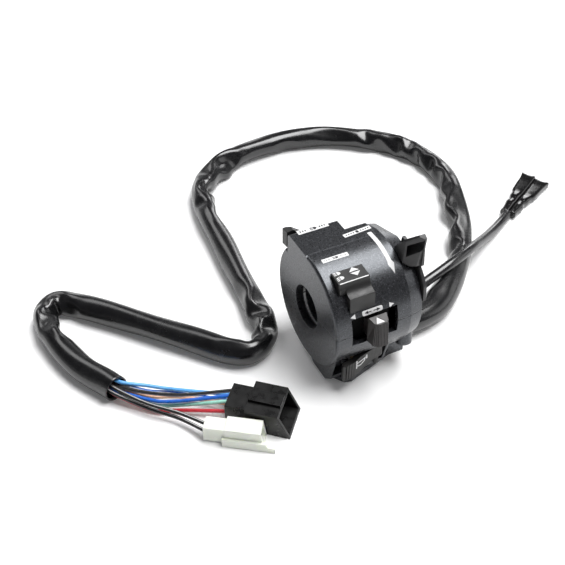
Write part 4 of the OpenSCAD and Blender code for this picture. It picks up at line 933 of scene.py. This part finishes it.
def around(angle, r):
    """y and z at an angle above the rider side and a distance from the handlebar's axis."""
    return -r * math.cos(math.radians(angle)), r * math.sin(math.radians(angle))


def degrees_up(angle):
    """Length round the case of an angle."""
    return math.radians(angle) * CASE_R


def over_top(x, y, lift):
    """Lays y along the flat top of the case behind the middle and down the round front before it."""
    if y > 0:
        return x, y, CASE_R + lift
    return on_drum(90)(x, y, lift)


def print_lights_plate():
    """Plate behind the lights knob, on the round of the case."""
    angle, upper = LIGHTS_PLATE_ANGLES
    drum, height = on_drum(angle), degrees_up(upper - angle)
    left, right = LIGHTS_PLATE_ENDS
    place_print("print_lights_plate", [rect(left, 0, right, height)], drum, "case", white_ink)
    marks = headlamp(10.4, 0.45, 13.2, height - 0.45) + bars(*LIGHTS_BARS, 0.95, height - 0.95)
    place_print("print_lights_mark", marks, drum, "case", dark_ink, MARK_LIFT)


def print_choke():
    """Plate on the flat top with a circle and a bar, and the arrow that shows the lever's way."""
    along, back = CHOKE_PLATE_RUN
    top = on_face((*CHOKE_PLATE_AT, CASE_R), (along, back, 0), (-back, along, 0))
    place_print("print_choke_plate", [rect(0, 0, along, CHOKE_PLATE_HEIGHT)], top, "case", white_ink)
    marks = [arc_band(7.4, 1.2, 0.5, 0.85, 25, 335, 20), rect(7.2, 0.3, 7.6, 2.1)]
    marks += bars(*CHOKE_BARS, 0.8, 1.6)
    place_print("print_choke_mark", marks, top, "case", dark_ink, MARK_LIFT)

    tip, wide, tail = -degrees_up(90 - CHOKE_ARROW_TIP), -degrees_up(90 - CHOKE_ARROW_WIDE), CHOKE_ARROW_TAIL
    barb = wide + CHOKE_ARROW_BARB
    arrow = [(35, tip), (36.6, wide), (35.9, barb), (35.8, 0), (35.75, tail), (33.55, tail), (33.6, 0),
             (33.75, barb), (33.35, wide)]
    place_print("print_choke_arrow", [arrow], over_top, "case", white_ink)


def print_turn_pill():
    """Round-cornered plate over the turn knob, and the arrows beside it."""
    angle, upper = PILL_ANGLES
    drum, height = on_drum(angle), degrees_up(upper - angle)
    left, right = PILL_ENDS
    place_print("print_turn_pill", [rounded(left, 0, right, height, PILL_CORNER)], drum, "case", white_ink)
    middle = height / 2
    marks = [rect(start, middle - STEM_HALF, end, middle + STEM_HALF) for start, end in DOUBLE_ARROW_STEMS]
    marks += arrowheads(DOUBLE_ARROW_TIPS, DOUBLE_ARROW_BASES, middle, DOUBLE_ARROW_HALF)
    place_print("print_turn_mark", marks, drum, "case", dark_ink, MARK_LIFT)
    arrows = arrowheads(SIDE_ARROW_TIPS, SIDE_ARROW_BASES, middle, SIDE_ARROW_HALF)
    place_print("print_side_arrows", arrows, drum, "case", white_ink)


def print_passing_plate():
    """Plate on the flat top before the passing trigger."""
    top = on_face((*PASSING_PLATE_AT, CASE_R), (1, 0, 0), (0, 1, 0))
    place_print("print_passing_plate", [rect(0, 0, *PASSING_PLATE_SIZE)], top, "case", white_ink)
    marks = headlamp(6.6, 0.5, 10, 2.6) + bars(*PASSING_BARS, 1.1, 2.2)
    place_print("print_passing_mark", marks, top, "case", dark_ink, MARK_LIFT)


def print_turn_knob():
    """Triangle on the slope of the turn knob."""
    (front_y, front_z), (back_y, back_z) = KNOB_FRONT_TOP, KNOB_BACK_TOP
    slope = on_face((0, front_y, front_z), (1, 0, 0), (0, back_y - front_y, back_z - front_z))
    place_print("print_turn_triangle", [[(17.9, 0.9), (22.2, 0.85), (19.3, 3.85)]], slope, "turn_switch", white_ink)


def print_lights_knob():
    """Line, two headlamps and two triangles on the slope of the lights knob."""
    (front_y, front_z), (upper_y, upper_z) = around(*LEGEND_FRONT), around(*LEGEND_UPPER)
    slope = on_face((0, front_y, front_z), (1, 0, 0), (0, upper_y - front_y, upper_z - front_z))
    symbols = [rect(5.6, 0.3, 20.2, 0.8), *headlamp(5.7, 5.9, 9.2, 7.9), *headlamp(5.8, 2.7, 9.4, 4.9, 0.5),
               [(13.1, 5.6), (18, 5.6), (15.55, 7.9)], [(13.2, 4.8), (15.65, 2.5), (18.1, 4.8)]]
    place_print("print_lights_legend", symbols, slope, "lights_switch", white_ink)


def print_horn():
    """Horn on the paddle's front: its mouth, stem, rear end and the curl below."""
    face = on_face(PADDLE_FACE_AT, PADDLE_FACE_RUN, (0, 0, 1))
    mouth = [(1.2, -20.5), (1.95, -20.6), (1.75, -15.4), (1.05, -15.25)]
    stem = stroke([(1.7, -17.2), (7.7, -16.2)], HORN_PEN)
    rear = stroke([(7.7, -15.5), (7.9, -17.2)], HORN_PEN_WIDE)
    curl = stroke([(1.8, -18.9), (2.9, -19.3), (4.2, -19.4), (6.4, -18.2), (6.7, -16.4)], HORN_PEN)
    place_print("print_horn", [mouth, *stem, *rear, *curl], face, "horn_button", white_ink)


print_lights_plate()
print_choke()
print_turn_pill()
print_passing_plate()
print_turn_knob()
print_lights_knob()
print_horn()


# Stage, light and camera

def build_stage():
    """White floor, a touch brighter where it is seen directly, in a reflection or through a surface."""
    z = FLOOR_Z * MM
    mesh = bpy.data.meshes.new("floor")
    mesh.from_pydata([(x * FLOOR_HALF, y * FLOOR_HALF, z) for x, y in rect(-1, -1, 1, 1)], [], [(0, 1, 2, 3)])
    floor = put("floor", mesh)
    made, tree, bsdf = shader("floor_white")
    bsdf.inputs["Base Color"].default_value = (FLOOR_ALBEDO, FLOOR_ALBEDO, FLOOR_ALBEDO, 1)
    bsdf.inputs["Roughness"].default_value = FLOOR_ROUGHNESS
    bsdf.inputs["Specular IOR Level"].default_value = FLOOR_SPECULAR
    ray = add(tree, "ShaderNodeLightPath").outputs
    seen = maths(tree, "ADD", ray["Is Camera Ray"], ray["Is Glossy Ray"])
    seen = maths(tree, "ADD", seen, ray["Is Transmission Ray"])
    tree.links.new(maths(tree, "MULTIPLY", seen, BACKGROUND_LIFT), bsdf.inputs["Emission Strength"])
    bsdf.inputs["Emission Color"].default_value = (1, 1, 1, 1)
    mesh.materials.append(made)


def build_world():
    """Dim surroundings with a pale glow near the horizon behind the object."""
    world = bpy.data.worlds.new("studio")
    bpy.context.scene.world = world
    world.use_nodes = True
    tree = world.node_tree
    place = add(tree, "ShaderNodeTexCoord")
    parts = add(tree, "ShaderNodeSeparateXYZ")
    tree.links.new(place.outputs["Generated"], parts.inputs["Vector"])
    low = spread(tree, parts.outputs["Z"], *GLOW_HEIGHTS, 1, 0)
    behind = spread(tree, parts.outputs["Y"], *GLOW_DEPTHS, GLOW_IN_FRONT, 1)
    sky = blend_colours(tree, maths(tree, "MULTIPLY", low, behind), WORLD_DARK, WORLD_PALE)
    tree.links.new(sky, tree.nodes["Background"].inputs["Color"])
    tree.nodes["Background"].inputs["Strength"].default_value = 1.0


def add_light(name, at, size, power):
    """A soft rectangular light that faces the object."""
    light = bpy.data.lights.new(name, "AREA")
    light.shape = "RECTANGLE"
    light.size, light.size_y = size
    light.energy = power
    lamp = put(name, light)
    lamp.location = at
    lamp.rotation_mode = "QUATERNION"
    lamp.rotation_quaternion = (Vector(LIT) - Vector(at)).to_track_quat("-Z", "Y")


def build_camera():
    """The camera of the photograph."""
    data = bpy.data.cameras.new("camera")
    data.lens = CAMERA_LENS
    data.sensor_width = CAMERA_SENSOR
    data.clip_start, data.clip_end = CAMERA_CLIP
    camera = put("camera", data)
    turn = Matrix((CAMERA_RIGHT, CAMERA_UP, CAMERA_BACK)).transposed().to_4x4()
    camera.matrix_world = Matrix.Translation(CAMERA_AT) @ turn
    bpy.context.scene.camera = camera


build_stage()
build_world()
for name, (at, size, power) in LIGHTS.items():
    add_light(name, at, size, power)
build_camera()
bpy.context.scene.view_settings.view_transform = "Standard"
